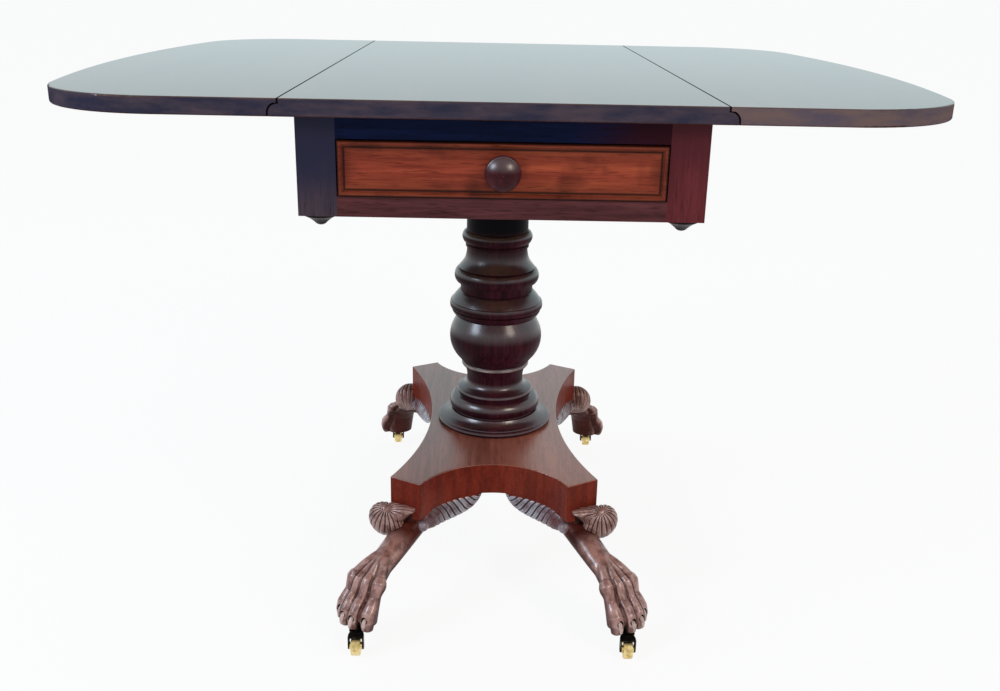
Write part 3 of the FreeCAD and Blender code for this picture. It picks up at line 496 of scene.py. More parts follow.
@dataclass(frozen=True)
class Metal:
    """Cast or rolled metal with a handled surface: dull patches where it is touched least."""

    name: str
    bright: str
    dull: str
    patch_mm: float
    roughness: float

    def material(self) -> Finish:
        """Make the finish as a material.

        Returns:
            The material.
        """
        material, tree, shader = new_material(self.name)
        place = add_node(tree, "TexCoord")
        patch = add_node(tree, "TexNoise", inputs={
            "Vector": (place, "Object"), "Scale": 1 / (self.patch_mm * MM), "Detail": 4.0})
        tone = add_node(tree, "ValToRGB", {"stops": [
            (0.38, linear(self.dull)), (0.6, linear(self.bright))]}, {"Fac": patch})
        rough = add_node(tree, "MapRange", inputs={
            "Value": patch, "From Min": 0.35, "From Max": 0.65,
            "To Min": self.roughness * 1.3, "To Max": self.roughness * 0.8})
        tree.links.new(tone.outputs["Color"], shader.inputs["Base Color"])
        tree.links.new(rough.outputs["Result"], shader.inputs["Roughness"])
        shader.inputs["Metallic"].default_value = 1.0
        return material


def dress(names: list[str], material: Finish) -> None:
    """Give CAD nodes a finish.

    Args:
        names: nodes to dress.
        material: finish for them.
    """
    for name in names:
        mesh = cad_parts[name].data
        mesh.materials.clear()
        mesh.materials.append(material)
    log.info("dressed %s in %s", ", ".join(names), material.name)


def select_only(piece: Piece) -> None:
    """Make one object the only selected one and the active one.

    Args:
        piece: the object.
    """
    bpy.ops.object.select_all(action="DESELECT")
    piece.select_set(True)
    bpy.context.view_layer.objects.active = piece


def join(pieces: list[Piece], name: str) -> Piece:
    """Join objects into the first of them, with the place of each in its mesh.

    Args:
        pieces: objects to join.
        name: name of the result.

    Returns:
        The joined object.
    """
    select_only(pieces[0])
    for piece in pieces:
        piece.select_set(True)
    bpy.ops.object.transform_apply(location=True, rotation=True, scale=True)
    if len(pieces) > 1:
        bpy.ops.object.join()
    pieces[0].name = name
    pieces[0].data.name = name
    return pieces[0]


def apply_modifier(piece: Piece, kind: str, **settings: object) -> None:
    """Add a modifier to an object and apply it.

    Args:
        piece: object that takes it.
        kind: modifier type.
        settings: its attributes.
    """
    select_only(piece)
    modifier = piece.modifiers.new(kind.lower(), kind)
    for name, value in settings.items():
        setattr(modifier, name, value)
    bpy.ops.object.modifier_apply(modifier=modifier.name)


def cut_foot(piece: Piece, height: float) -> None:
    """Drop what lies below a level and close the cut.

    Args:
        piece: object to cut.
        height: level of the cut in millimetres.
    """
    select_only(piece)
    bpy.ops.object.mode_set(mode="EDIT")
    bpy.ops.mesh.select_all(action="SELECT")
    bpy.ops.mesh.bisect(plane_co=(0, 0, height * MM), plane_no=(0, 0, -1), use_fill=True, clear_outer=True)
    bpy.ops.object.mode_set(mode="OBJECT")


@dataclass(frozen=True)
class Ring:
    """One oval section of a carved form, in millimetres: its middle and its two half axes."""

    middle: Vector
    across: Vector
    deep: Vector


def limb(rings: list[Ring], name: str, sides: int) -> Piece:
    """Bridge oval sections into a closed form.

    Args:
        rings: sections from one end to the other.
        name: name of the form.
        sides: points round each section.

    Returns:
        The form, with its place in its mesh.
    """
    loops = []
    for ring in rings:
        bpy.ops.object.select_all(action="DESELECT")
        bpy.ops.mesh.primitive_circle_add(vertices=sides, radius=MM)
        loop = bpy.context.active_object
        facing = ring.deep.cross(ring.across).normalized()
        turn = Matrix((ring.deep, ring.across, facing)).transposed().to_4x4()
        loop.matrix_world = Matrix.Translation(ring.middle * MM) @ turn
        loops.append(loop)
    piece = join(loops, name)
    bpy.ops.object.mode_set(mode="EDIT")
    bpy.ops.mesh.select_all(action="SELECT")
    bpy.ops.mesh.bridge_edge_loops()
    bpy.ops.mesh.select_all(action="DESELECT")
    bpy.ops.mesh.select_non_manifold()
    bpy.ops.mesh.fill_holes(sides=0)
    bpy.ops.mesh.select_all(action="SELECT")
    bpy.ops.mesh.normals_make_consistent(inside=False)
    bpy.ops.object.mode_set(mode="OBJECT")
    return piece


def finger(points: list[tuple[float, float, float, float]], name: str) -> Piece:
    """Make a rounded tapering form along a line, such as a toe.

    Args:
        points: places along it in millimetres, each with a radius.
        name: name of the form.

    Returns:
        The form.
    """
    rings = []
    places = [Vector(point[:3]) for point in points]
    for index, place in enumerate(places):
        before = places[max(index - 1, 0)]
        after = places[min(index + 1, len(places) - 1)]
        facing = (after - before).normalized()
        deep = Vector((0, 1, 0)).cross(facing).normalized()
        across = facing.cross(deep)
        radius = points[index][3]
        rings.append(Ring(place, across * radius, deep * radius))
    return limb(rings, name, sides=20)


def smoothstep(low: float, high: float, value: float) -> float:
    """Rise smoothly from 0 at low to 1 at high."""
    share = min(max((value - low) / (high - low), 0.0), 1.0)
    return share * share * (3 - 2 * share)


def note_wear_and_painted_light(piece: Piece, rubbed: list[float], cut: list[float]) -> None:
    """Note the wear and painted light on each vertex for the carved finish.

    Args:
        piece: carved object.
        rubbed: how pale it is painted, as wear and a painted sheen, from 0 to 1.
        cut: how dark it is painted, as old polish and painted shade in a cut and painted shadow under an edge, from
            0 to 1.
    """
    for name, shares in (("rubbed", rubbed), ("cut", cut)):
        piece.data.attributes.new(name, "FLOAT", "POINT").data.foreach_set("value", shares)


def place_at_corners(piece: Piece, kind: str, angle: float) -> None:
    """Turn a piece to the front right corner and set mirrored copies of it at the others.

    Args:
        piece: the piece, in its own plane.
        kind: word for it in the nodes' names.
        angle: the way that its plane stands from X, in degrees.
    """
    turn = Matrix.Rotation(-math.radians(angle), 4, "Z")
    piece.data.transform(turn)
    copies = {Corner.FRONT_RIGHT: piece}
    for corner in Corner:
        if corner not in copies:
            copies[corner] = piece.copy()
            copies[corner].data = piece.data.copy()
            bpy.context.scene.collection.objects.link(copies[corner])
    for corner, copy in copies.items():
        copy.data.transform(Matrix.Diagonal((*corner.value, 1, 1)))
        select_only(copy)
        bpy.ops.object.mode_set(mode="EDIT")
        bpy.ops.mesh.select_all(action="SELECT")
        bpy.ops.mesh.remove_doubles(threshold=0.01 * MM)
        bpy.ops.mesh.normals_make_consistent(inside=False)
        bpy.ops.object.mode_set(mode="OBJECT")
        copy.name = f"carved_{corner.label}_{kind}"
        copy.data.name = copy.name
        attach(copy, "frame")
        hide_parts(f"{corner.label}_{kind}")
        log.info("set %s", copy.name)


@dataclass(frozen=True)
class Toe:
    """One toe: where its knuckle and its tip lie across the paw, and how far its tip stays back."""

    knuckle: float
    tip: float
    back: float

    def across(self, share: float) -> float:
        """Place across the paw at a share of the way from knuckle to tip."""
        return self.knuckle + (self.tip - self.knuckle) * share

    def tendon(self) -> list[tuple[float, float, float, float]]:
        """Line of the tendon from the ankle to the knuckle: out, across, height, radius."""
        return [
            (36, self.knuckle * 0.2, 110, 1.5),
            (46, self.knuckle * 0.3, 108, 3.4),
            (58, self.knuckle * 0.47, 103.5, 5.0),
            (70, self.knuckle * 0.7, 97, 5.8),
            (80, self.knuckle * 0.92, 88.5, 6.6),
            (86, self.knuckle, 81, 5.0),
        ]

    def toe(self) -> list[tuple[float, float, float, float]]:
        """Line of the toe from the knuckle over one joint to the tip: out, across, height, radius."""
        return [
            (76, self.knuckle * 0.9, 90, 3.0),
            (82, self.knuckle * 0.97, 86.5, 8.2),
            (87 - self.back * 0.2, self.knuckle, 82.5, 10.2),
            (90 - self.back * 0.3, self.knuckle, 78.5, 10.0),
            (95 - self.back * 0.4, self.across(0.25), 73, 8.2),
            (101 - self.back * 0.7, self.across(0.5), 66, 7.2),
            (109.5 - self.back, self.across(0.75), 58.5, 9.4),
            (116 - self.back, self.across(0.95), 51, 10.6),
            (119.5 - self.back, self.tip, 42.5, 10.2),
            (119.5 - self.back, self.tip, 34, 8.2),
            (115.5 - self.back, self.tip, 28, 5.5),
        ]

    def across_at(self, height: float) -> float:
        """Follow the tendon and the toe down to a height.

        Args:
            height: the height in millimetres.

        Returns:
            Their place across the paw.
        """
        line = [(point[2], point[1]) for point in self.tendon()[:-1] + self.toe()[2:]]
        for (high, high_across), (low, low_across) in zip(line, line[1:]):
            if height >= low:
                share = min(max((height - low) / (high - low), 0.0), 1.0)
                return low_across + (high_across - low_across) * share
        return self.tip


@dataclass
class CarvedLeg:
    """A paw leg: knee with a fluted fan at its outer corner, shank with tendons, and a paw of four toes.

    It is carved once in its own plane, with X outwards and Y towards the table's side, then turned to the
    front right corner and mirrored to the others. Sizes are in millimetres. A row of the shank holds out, across,
    height, half across, half deep and lean; a row of the brow holds out, across, height, half out and half high.
    """

    root: float = 254.35
    angle: float = 61.72
    pad: float = 30.0
    ceiling: float = 149.0
    voxel: float = 0.85
    fan_middle: tuple[float, float, float] = (9.5, 26.5, 132.5)
    fan_half: tuple[float, float, float] = (15.0, 25.5, 25.0)
    fan_turn: float = -4.0
    fan_hub: tuple[float, float, float] = (0.5, -0.18, 0.84)
    fan_flutes: int = 19
    fan_flute_depth: float = 1.9
    groove_depth: float = 1.7
    groove_half: float = 1.7
    groove_start: float = 30.0
    groove_fade: tuple[float, float] = (98.0, 110.0)
    smoothing: int = 8
    seat: tuple[float, float, float] = (200.0, 200.0, 60.0)
    # How pale the fan and the claws are painted, and where the shank is: wear and a painted sheen.
    fan_wear_and_sheen: float = 0.72
    claw_wear_and_sheen: float = 0.7
    shank_wear_and_sheen: tuple[float, float] = (10.0, 46.0)
    lip_reach: float = 20.0
    far_below: float = -100.0
    lip_edge: tuple[tuple[float, float], ...] = (
        (-40.0, 170.0), (-16.0, 150.0), (-8.0, 144.0), (0.0, 135.5), (7.0, 126.0), (14.0, 116.0), (22.0, 107.0),
        (60.0, 60.0))
    shank_rows: tuple[tuple[float, ...], ...] = (
        (-25.0, -2.0, 158.0, 20.0, 23.0, 90.0), (-23.0, -2.0, 133.0, 20.0, 23.0, 90.0),
        (-8.0, -2.0, 118.0, 19.5, 21.0, 62.0), (17.0, -1.0, 110.0, 19.0, 17.0, 34.0),
        (46.0, 0.0, 99.5, 18.5, 14.5, 22.0), (64.0, 2.0, 92.5, 19.0, 13.0, 24.0),
        (79.0, 4.0, 81.0, 20.5, 12.5, 46.0), (89.0, 5.0, 66.0, 22.0, 13.5, 62.0),
        (96.0, 6.0, 51.0, 23.5, 16.0, 78.0), (100.0, 6.0, 40.0, 23.5, 18.0, 86.0),
        (101.0, 6.0, 28.0, 22.0, 18.0, 90.0))
    brow_rows: tuple[tuple[float, ...], ...] = (
        (6.0, 22.0, 132.0, 16.0, 25.0), (5.0, 14.0, 136.5, 15.0, 20.5), (5.0, 7.0, 141.5, 13.5, 15.5),
        (4.0, 0.0, 146.5, 12.0, 10.5), (3.0, -8.0, 150.5, 9.5, 6.0), (2.0, -16.0, 152.5, 6.0, 2.5))
    toes: tuple[Toe, ...] = (
        Toe(27.0, 31.0, 14.0), Toe(17.5, 19.5, 3.0), Toe(3.0, 4.0, 0.0), Toe(-13.5, -14.0, 4.0))
    finish: CarvedMahogany = field(default_factory=lambda: CarvedMahogany(
        "carved_mahogany", "#30120e", "#471c16", "#5a281e", Grain.ALL_WAYS, patch_mm=40.0, streak_mm=3.0,
        roughness=0.36, specular=0.1, gloss=1.0, gloss_roughness=0.26, gloss_ior=1.8))

    def build(self) -> None:
        """Carve the leg and set copies of it at the four corners."""
        parts = [self._shank(), self._fan(), self._brow()]
        for toe in self.toes:
            parts += [self._strand(toe.tendon(), "tendon"), self._strand(toe.toe(), "toe")]
        leg = join(parts, "carved_leg")
        apply_modifier(leg, "REMESH", mode="VOXEL", voxel_size=self.voxel * MM)
        apply_modifier(leg, "SMOOTH", factor=0.5, iterations=self.smoothing)
        self._carve(leg)
        self._cut_slots_and_seat(leg)
        cut_foot(leg, self.pad)
        places = [(vertex.co / MM, vertex.normal.copy()) for vertex in leg.data.vertices]
        note_wear_and_painted_light(leg, [self._rubbed(*each) for each in places], [self._cut_share(*each) for each in places])
        claws = join([self._claw(toe) for toe in self.toes], "claws")
        cut_foot(claws, self.pad)
        count = len(claws.data.vertices)
        note_wear_and_painted_light(claws, [self.claw_wear_and_sheen] * count, [0.0] * count)
        leg = join([leg, claws], "carved_leg")
        bpy.ops.object.shade_smooth_by_angle(angle=CARVED_CREASE)
        leg.data.materials.append(self.finish.material())
        place_at_corners(leg, "leg", self.angle)

    def _shank(self) -> Piece:
        """Bridge the knee, the shank and the body of the paw.

        Returns:
            The form that the rest is carved on.
        """
        rings = []
        for out, aside, height, across, deep, lean in self.shank_rows:
            angle = math.radians(lean)
            upright = Vector((math.sin(angle), 0.0, math.cos(angle)))
            rings.append(Ring(Vector((self.root + out, aside, height)), Vector((0.0, across, 0.0)), upright * deep))
        return limb(rings, "shank", sides=36)

    def _strand(self, line: list[tuple[float, float, float, float]], name: str) -> Piece:
        """Make a tendon or a toe along its line."""
        return finger([(self.root + out, across, height, radius) for out, across, height, radius in line], name)

    def _claw(self, toe: Toe) -> Piece:
        """Make the claw that looks out below a toe's hood."""
        return self._strand([
            (119 - toe.back, toe.tip, 49, 2.0),
            (126 - toe.back, toe.tip, 46.5, 3.2),
            (129.4 - toe.back, toe.tip, 41.5, 2.9),
            (130 - toe.back, toe.tip, 37, 2.0),
            (129.6 - toe.back, toe.tip, 34.5, 0.8),
        ], "claw")

    def _slot(self, toe: Toe) -> list[tuple[float, float, float, float]]:
        """Line of the arched slot round a claw."""
        return [
            (122 - toe.back, toe.tip, 51, 3.0),
            (129 - toe.back, toe.tip, 48, 4.6),
            (133.5 - toe.back, toe.tip, 41, 4.6),
            (135 - toe.back, toe.tip, 34, 3.6),
        ]

    def _cut_slots_and_seat(self, leg: Piece) -> None:
        """Cut the slots round the claws, and the seat where the knee meets the platform.

        Args:
            leg: the leg to cut.
        """
        bpy.ops.object.select_all(action="DESELECT")
        bpy.ops.mesh.primitive_cube_add(size=1.0)
        seat = bpy.context.active_object
        seat.scale = Vector(self.seat) * MM
        seat.location = Vector((self.root - self.seat[0] / 2, 0.0, self.ceiling + self.seat[2] / 2)) * MM
        slots = [self._strand(self._slot(toe), "slot") for toe in self.toes]
        for cutter in [join([seat], "seat")] + slots:
            apply_modifier(leg, "BOOLEAN", operation="DIFFERENCE", object=cutter)
            bpy.data.objects.remove(cutter)

    def _fan(self) -> Piece:
        """Add the round body of the fan scroll.

        Returns:
            The body, before its flutes are cut.
        """
        out, across, height = self.fan_middle
        bpy.ops.object.select_all(action="DESELECT")
        bpy.ops.mesh.primitive_uv_sphere_add(segments=48, ring_count=32, radius=1.0)
        ball = bpy.context.active_object
        ball.scale = tuple(half * MM for half in self.fan_half)
        ball.rotation_euler = (0.0, 0.0, math.radians(self.fan_turn))
        ball.location = Vector((self.root + out, across, height)) * MM
        return join([ball], "fan")

    def _brow(self) -> Piece:
        """Make the leaf edge that runs from the fan across the knee, over the platform's lower edge.

        Returns:
            The leaf edge.
        """
        rings = [Ring(Vector((self.root + out, across, height)), Vector((half_out, 0.0, 0.0)),
                      Vector((0.0, 0.0, half_high))) for out, across, height, half_out, half_high in self.brow_rows]
        return limb(rings, "brow", sides=24)

    def _fan_ray(self, place: Vector) -> tuple[float, float, float]:
        """Place a point by the fan's own measures.

        Args:
            place: the point in millimetres.

        Returns:
            Its distance from the fan's middle as a share, and its reach and angle round the hub.
        """
        out, across, height = self.fan_middle
        turn = math.radians(self.fan_turn)
        offset = place - Vector((self.root + out, across, height))
        ahead = offset.x * math.cos(turn) + offset.y * math.sin(turn)
        aside = offset.y * math.cos(turn) - offset.x * math.sin(turn)
        share = Vector((ahead / self.fan_half[0], aside / self.fan_half[1], offset.z / self.fan_half[2]))
        inside = max(share.length, 0.001)
        hub = Vector(self.fan_hub).normalized()
        level = hub.cross(Vector((0.0, 0.0, 1.0))).normalized()
        turned = hub.cross(level)
        way = share / inside
        reach = math.acos(min(max(way.dot(hub), -1.0), 1.0)) * self.fan_half[1]
        return inside, reach, math.atan2(way.dot(turned), way.dot(level))

    def _flute_share(self, place: Vector) -> float:
        """Say how deep a point lies in one of the fan's flutes, which spread from its hub and end at its rim.

        Args:
            place: the point in millimetres.

        Returns:
            The depth from 0 to 1.
        """
        inside, reach, angle = self._fan_ray(place)
        lip = smoothstep(1.0, 4.0, self._above_lip(place))
        on_fan = 1 - smoothstep(1.03, 1.1, inside)
        if inside < 0.8 or max(lip, on_fan) == 0.0:
            return 0.0
        groove = (1 - abs(math.sin(self.fan_flutes * angle / 2))) ** 2.0
        run = smoothstep(2.0, 9.0, reach) * (1 - 0.6 * smoothstep(32.0, 46.0, reach))
        return groove * run * max(0.6 * lip, on_fan)

    def _groove_share(self, place: Vector, normal: Vector) -> float:
        """Say how deep a point lies in a groove between two toes or tendons.

        Args:
            place: the point in millimetres.
            normal: the way that the surface faces there.

        Returns:
            The depth from 0 to 1.
        """
        facing = smoothstep(-0.1, 0.25, 0.8 * normal.x + 0.6 * normal.z)
        fade = 1 - smoothstep(*self.groove_fade, place.z)
        if facing * fade == 0.0 or place.x < self.root + self.groove_start:
            return 0.0
        lines = [toe.across_at(place.z) for toe in self.toes]
        away = min(abs(place.y - (near + far) / 2) for near, far in zip(lines, lines[1:]))
        return math.exp(-(away / self.groove_half) ** 2) * facing * fade

    def _carve(self, leg: Piece) -> None:
        """Cut the flutes of the fan and the grooves between the toes.

        Args:
            leg: the leg to carve.
        """
        moves = []
        for vertex in leg.data.vertices:
            place = vertex.co / MM
            depth = max(self.fan_flute_depth * self._flute_share(place),
                        self.groove_depth * self._groove_share(place, vertex.normal))
            moves.append(vertex.normal * (depth * MM))
        for vertex, move in zip(leg.data.vertices, moves):
            vertex.co -= move

    def _rubbed(self, place: Vector, normal: Vector) -> float:
        """Say how pale a point is painted, as wear and a painted sheen: the fan and the upper side of the shank
        are, the knee is hardly.

        Args:
            place: the point in millimetres.
            normal: the way that the surface faces there.

        Returns:
            The share of wear and painted sheen, from 0 to 1.
        """
        inside, _reach, _angle = self._fan_ray(place)
        lip = smoothstep(-1.0, 1.0, self._above_lip(place))
        fan = self.fan_wear_and_sheen * max(1 - smoothstep(1.02, 1.08, inside), lip)
        # Parts of the shank that face up and outwards are painted paler: a painted sheen over wear.
        upper = smoothstep(-0.5, 0.5, normal.z + 0.5 * normal.x + 0.3 * normal.y)
        return max(fan, smoothstep(*self.shank_wear_and_sheen, place.x - self.root) * upper)

    def _above_lip(self, place: Vector) -> float:
        """Measure a point against the free edge of the leaf beside the fan.

        Args:
            place: the point in millimetres.

        Returns:
            Its height over that edge, or a low one out on the shank.
        """
        if place.x - self.root > self.lip_reach:
            return self.far_below
        for (near, near_height), (far, far_height) in zip(self.lip_edge, self.lip_edge[1:]):
            if near <= place.y <= far:
                return place.z - near_height - (far_height - near_height) * (place.y - near) / (far - near)
        return self.far_below

    def _cut_share(self, place: Vector, normal: Vector) -> float:
        """Say how dark a point is painted: in a flute, a groove or the slot round a claw, as old polish and painted
        shade, and under the leaf's edge, as painted shadow.

        Args:
            place: the point in millimetres.
            normal: the way that the surface faces there.

        Returns:
            The share from 0 to 1.
        """
        slot = 0.0
        for toe in self.toes:
            for out, across, height, radius in self._slot(toe)[:3]:
                if (place - Vector((self.root + out, across, height))).length < radius + 0.5:
                    slot = 1.0
        inside, _reach, _angle = self._fan_ray(place)
        # Painted shadow under the leaf's free edge, on the knee.
        below = -self._above_lip(place)
        painted_shadow_under_lip = 0.8 * smoothstep(0.0, 1.5, below) * (1 - smoothstep(3.0, 9.0, below))
        painted_shadow_under_lip *= smoothstep(1.02, 1.06, inside)
        return max(slot, painted_shadow_under_lip, 0.85 * self._flute_share(place), 0.7 * self._groove_share(place, normal))


@dataclass
class Wings:
    """The ribbed leaf brackets beside a leg, which hang below the platform's edges and taper to a tip.

    They are made at the front right corner and mirrored to the others. Sizes are in millimetres.
    """

    near_x: float = 99.0
    near_y: float = 212.0
    half_width: float = 142.0
    half_length: float = 236.0
    front_hollow: float = 65.0
    side_hollow: float = 45.0
    ceiling: float = 149.0
    run: float = 104.0
    tip: float = 1.05
    leaf_start: float = 0.1
    upper: float = 5.0
    upper_tip: float = 1.5
    lower: float = 38.0
    width: float = 18.0
    proud: float = 5.0
    band_width: float = 14.0
    band_cover: float = 4.0
    band_lap: float = 2.0
    band_proud: float = 0.3
    bulb_along: float = 0.1
    bulb_drop: float = 24.0
    bulb_radius: float = 8.0
    bulb_wear_and_sheen: float = 0.45
    ribs: float = 11.5
    rib_depth: float = 2.8
    slant: float = -2.8
    stations: int = 18
    # The bluish pale tones of the leaves' rubbed places and ridges are painted sheen and highlight over wear.
    finish: CarvedMahogany = field(default_factory=lambda: CarvedMahogany(
        "ribbed_mahogany", "#3d110a", "#561910", "#6a2416", Grain.ALL_WAYS, patch_mm=40.0, streak_mm=3.0,
        roughness=0.36, specular=0.1, gloss=1.0, gloss_roughness=0.26, gloss_ior=1.8, hollow="#0c0506",
        rubbed="#87838e", ridge_wear_and_highlight="#dcdce4"))

    def build(self, backing: Finish) -> None:
        """Make both brackets of the corner and mirror them to the others.

        Args:
            backing: finish of the plain band behind the leaves, which is the platform's own.
        """
        carved = self.finish.material()
        front_radius = (self.near_x ** 2 + self.front_hollow ** 2) / (2 * self.front_hollow)
        front_middle = Vector((0.0, -self.half_length + self.front_hollow - front_radius, self.ceiling))
        finishes = (carved, backing)
        front = self._wing(front_middle, front_radius, math.asin(self.near_x / front_radius), 90.0, finishes)
        side_radius = (self.near_y ** 2 + self.side_hollow ** 2) / (2 * self.side_hollow)
        side_middle = Vector((self.half_width - self.side_hollow + side_radius, 0.0, self.ceiling))
        side = self._wing(side_middle, side_radius, math.asin(self.near_y / side_radius), 180.0, finishes)
        pair = join([front, side], "wings")
        bpy.ops.object.shade_smooth_by_angle(angle=CARVED_CREASE)
        place_at_corners(pair, "wings", 0.0)

    def _size(self, along: float) -> tuple[float, float, float]:
        """Give the leaf's section at a place along it.

        Args:
            along: share of the way from leg to tip.

        Returns:
            How far its middle hangs down, its half depth and its half width.
        """
        share = min(along / self.tip, 1.0)
        grow = 0.35 + 0.65 * math.sqrt(min(max((along - self.leaf_start) / 0.2, 0.0), 1.0))
        top = self.upper + (self.upper_tip - self.upper) * share
        bottom = top + (self.lower - self.upper) * max(1 - share ** 5, 0.002) ** 0.65
        half_deep = (bottom - top) / 2 * grow
        half_wide = self.width / 2 * grow * (1 - 0.75 * share ** 3.2)
        return (top + bottom) / 2, half_deep, half_wide

    def _band_drop(self, along: float) -> float:
        """Say how far the band hangs below the platform, so that the leaf covers its lower edge.

        Args:
            along: share of the way from leg to tip.

        Returns:
            The drop in millimetres.
        """
        share = min(along / self.tip, 1.0)
        top = self.upper + (self.upper_tip - self.upper) * share
        return top + self.band_cover * (1 - share ** 4)

    def _wing(self, middle: Vector, radius: float, start: float, heading: float,
              finishes: tuple[Finish, Finish]) -> Piece:
        """Bridge one bracket along its arc, cut its ribs, and back it with a plain band under the platform.

        Args:
            middle: centre of the platform's edge arc.
            radius: radius of that arc.
            start: arc angle at the leg, from the heading.
            heading: the way from that centre to the middle of the edge, in degrees.
            finishes: finish of the leaf and of the band.

        Returns:
            The bracket.
        """
        sense = -1.0 if heading == 90.0 else 1.0
        leaf_radius = radius + self.width / 2 - self.proud

        def inside(along: float) -> Vector:
            """The way from the arc's centre to the edge, at a share of the way from leg to tip."""
            angle = math.radians(heading) + sense * (start - along * self.run / radius)
            return Vector((math.cos(angle), math.sin(angle), 0.0))

        leaf_rings, band_rings = [], []
        for index in range(self.stations + 1):
            along = self.leaf_start + (self.tip - self.leaf_start) * index / self.stations
            drop, half_deep, half_wide = self._size(along)
            ahead = inside(along)
            leaf_rings.append(Ring(middle + ahead * leaf_radius - Vector((0.0, 0.0, drop)),
                                   ahead * half_wide, Vector((0.0, 0.0, half_deep))))
            band_along = (self.tip - 0.02) * index / self.stations
            ahead = inside(band_along)
            half_high = (self._band_drop(band_along) + self.band_lap) / 2
            half_out, half_down = ahead * (self.band_width / 2), Vector((0.0, 0.0, half_high))
            band_rings.append(Ring(middle + ahead * (radius + self.band_width / 2 - self.band_proud)
                                   + Vector((0.0, 0.0, self.band_lap - half_high)),
                                   half_out + half_down, half_out - half_down))
        leaf = limb(leaf_rings, "leaf", sides=24)
        apply_modifier(leaf, "SUBSURF", levels=3, render_levels=3)
        cuts, wear_and_sheen_shares = [], []
        for vertex in leaf.data.vertices:
            offset = vertex.co / MM - middle
            angle = sense * (math.atan2(offset.y, offset.x) % (2 * math.pi) - math.radians(heading))
            along = min(max((start - angle) * radius / self.run, self.leaf_start), self.tip)
            drop, half_deep, half_wide = self._size(along)
            outwards = leaf_radius - offset.xy.length
            round_share = math.atan2((-offset.z - drop) / half_deep, outwards / half_wide) / math.pi
            groove = (1 - abs(math.sin(math.pi * (self.ribs * along + self.slant * round_share)))) ** 2.2
            fade = smoothstep(0.25, 0.55, along) * (1 - smoothstep(0.98, 1.04, along))
            face = 1 - 0.8 * smoothstep(0.38, 0.5, abs(round_share))
            cuts.append(groove * (0.2 + 0.8 * fade) * smoothstep(0.16, 0.22, along) * face)
            # Paler towards the tip: wear and a painted sheen.
            wear_and_sheen_shares.append(0.3 + 0.7 * smoothstep(0.25, 0.7, along))
        moves = [vertex.normal * (self.rib_depth * cut * MM) for vertex, cut in zip(leaf.data.vertices, cuts)]
        for vertex, move in zip(leaf.data.vertices, moves):
            vertex.co -= move
        note_wear_and_painted_light(leaf, wear_and_sheen_shares, [0.95 * cut for cut in cuts])
        ball = self._bulb(middle + inside(self.bulb_along) * (leaf_radius - 1.0))
        band = limb(band_rings, "band", sides=4)
        note_wear_and_painted_light(band, [0.0] * len(band.data.vertices), [0.0] * len(band.data.vertices))
        for form, finish in ((leaf, finishes[0]), (ball, finishes[0]), (band, finishes[1])):
            form.data.materials.append(finish)
        return join([leaf, ball, band], "wing")

    def _bulb(self, place: Vector) -> Piece:
        """Add the round eye of the leaf, where it springs from the leg.

        Args:
            place: point on the platform's underside that it hangs from.

        Returns:
            The eye.
        """
        bpy.ops.object.select_all(action="DESELECT")
        bpy.ops.mesh.primitive_uv_sphere_add(segments=32, ring_count=20, radius=self.bulb_radius * MM)
        ball = bpy.context.active_object
        ball.location = (place - Vector((0.0, 0.0, self.bulb_drop))) * MM
        ball = join([ball], "bulb")
        count = len(ball.data.vertices)
        note_wear_and_painted_light(ball, [self.bulb_wear_and_sheen] * count, [0.0] * count)
        return ball


@dataclass
class Top:
    """Finishes of the centre board, the leaves and their hinges."""

    # The rims of the top's boards are painted shade with a painted bluish reflection; the right leaf's rim is
    # painted paler.
    board: Mahogany = JointedMahogany(
        "top_mahogany", "#331d17", "#4a2c22", "#5e3a2b", Grain.ALONG_Y, patch_mm=120.0, streak_mm=7.0,
        roughness=0.4, specular=0.0, gloss=1.0, gloss_roughness=0.06, relief=0.0, rim="#2b3246",
        rim_patch="#4b444f")
    right_leaf: Mahogany = JointedMahogany(
        "right_leaf_mahogany", "#341d16", "#4f2f23", "#643e2e", Grain.ALONG_Y, patch_mm=120.0, streak_mm=7.0,
        roughness=0.4, specular=0.0, gloss=1.0, gloss_roughness=0.06, relief=0.0, rim="#595362",
        rim_patch="#70605f")

    def dress(self, iron: Finish) -> None:
        """Give each piece of the top its finish.

        Args:
            iron: finish of the hinges.
        """
        dress(["top_board", "left_leaf"], self.board.material())
        dress(["right_leaf"], self.right_leaf.material())
        dress(["hinge_top_flaps", "hinge_pins", "hinge_top_screws", "left_hinge_leaf_flaps",
               "right_hinge_leaf_flaps", "left_hinge_leaf_screws", "right_hinge_leaf_screws"], iron)


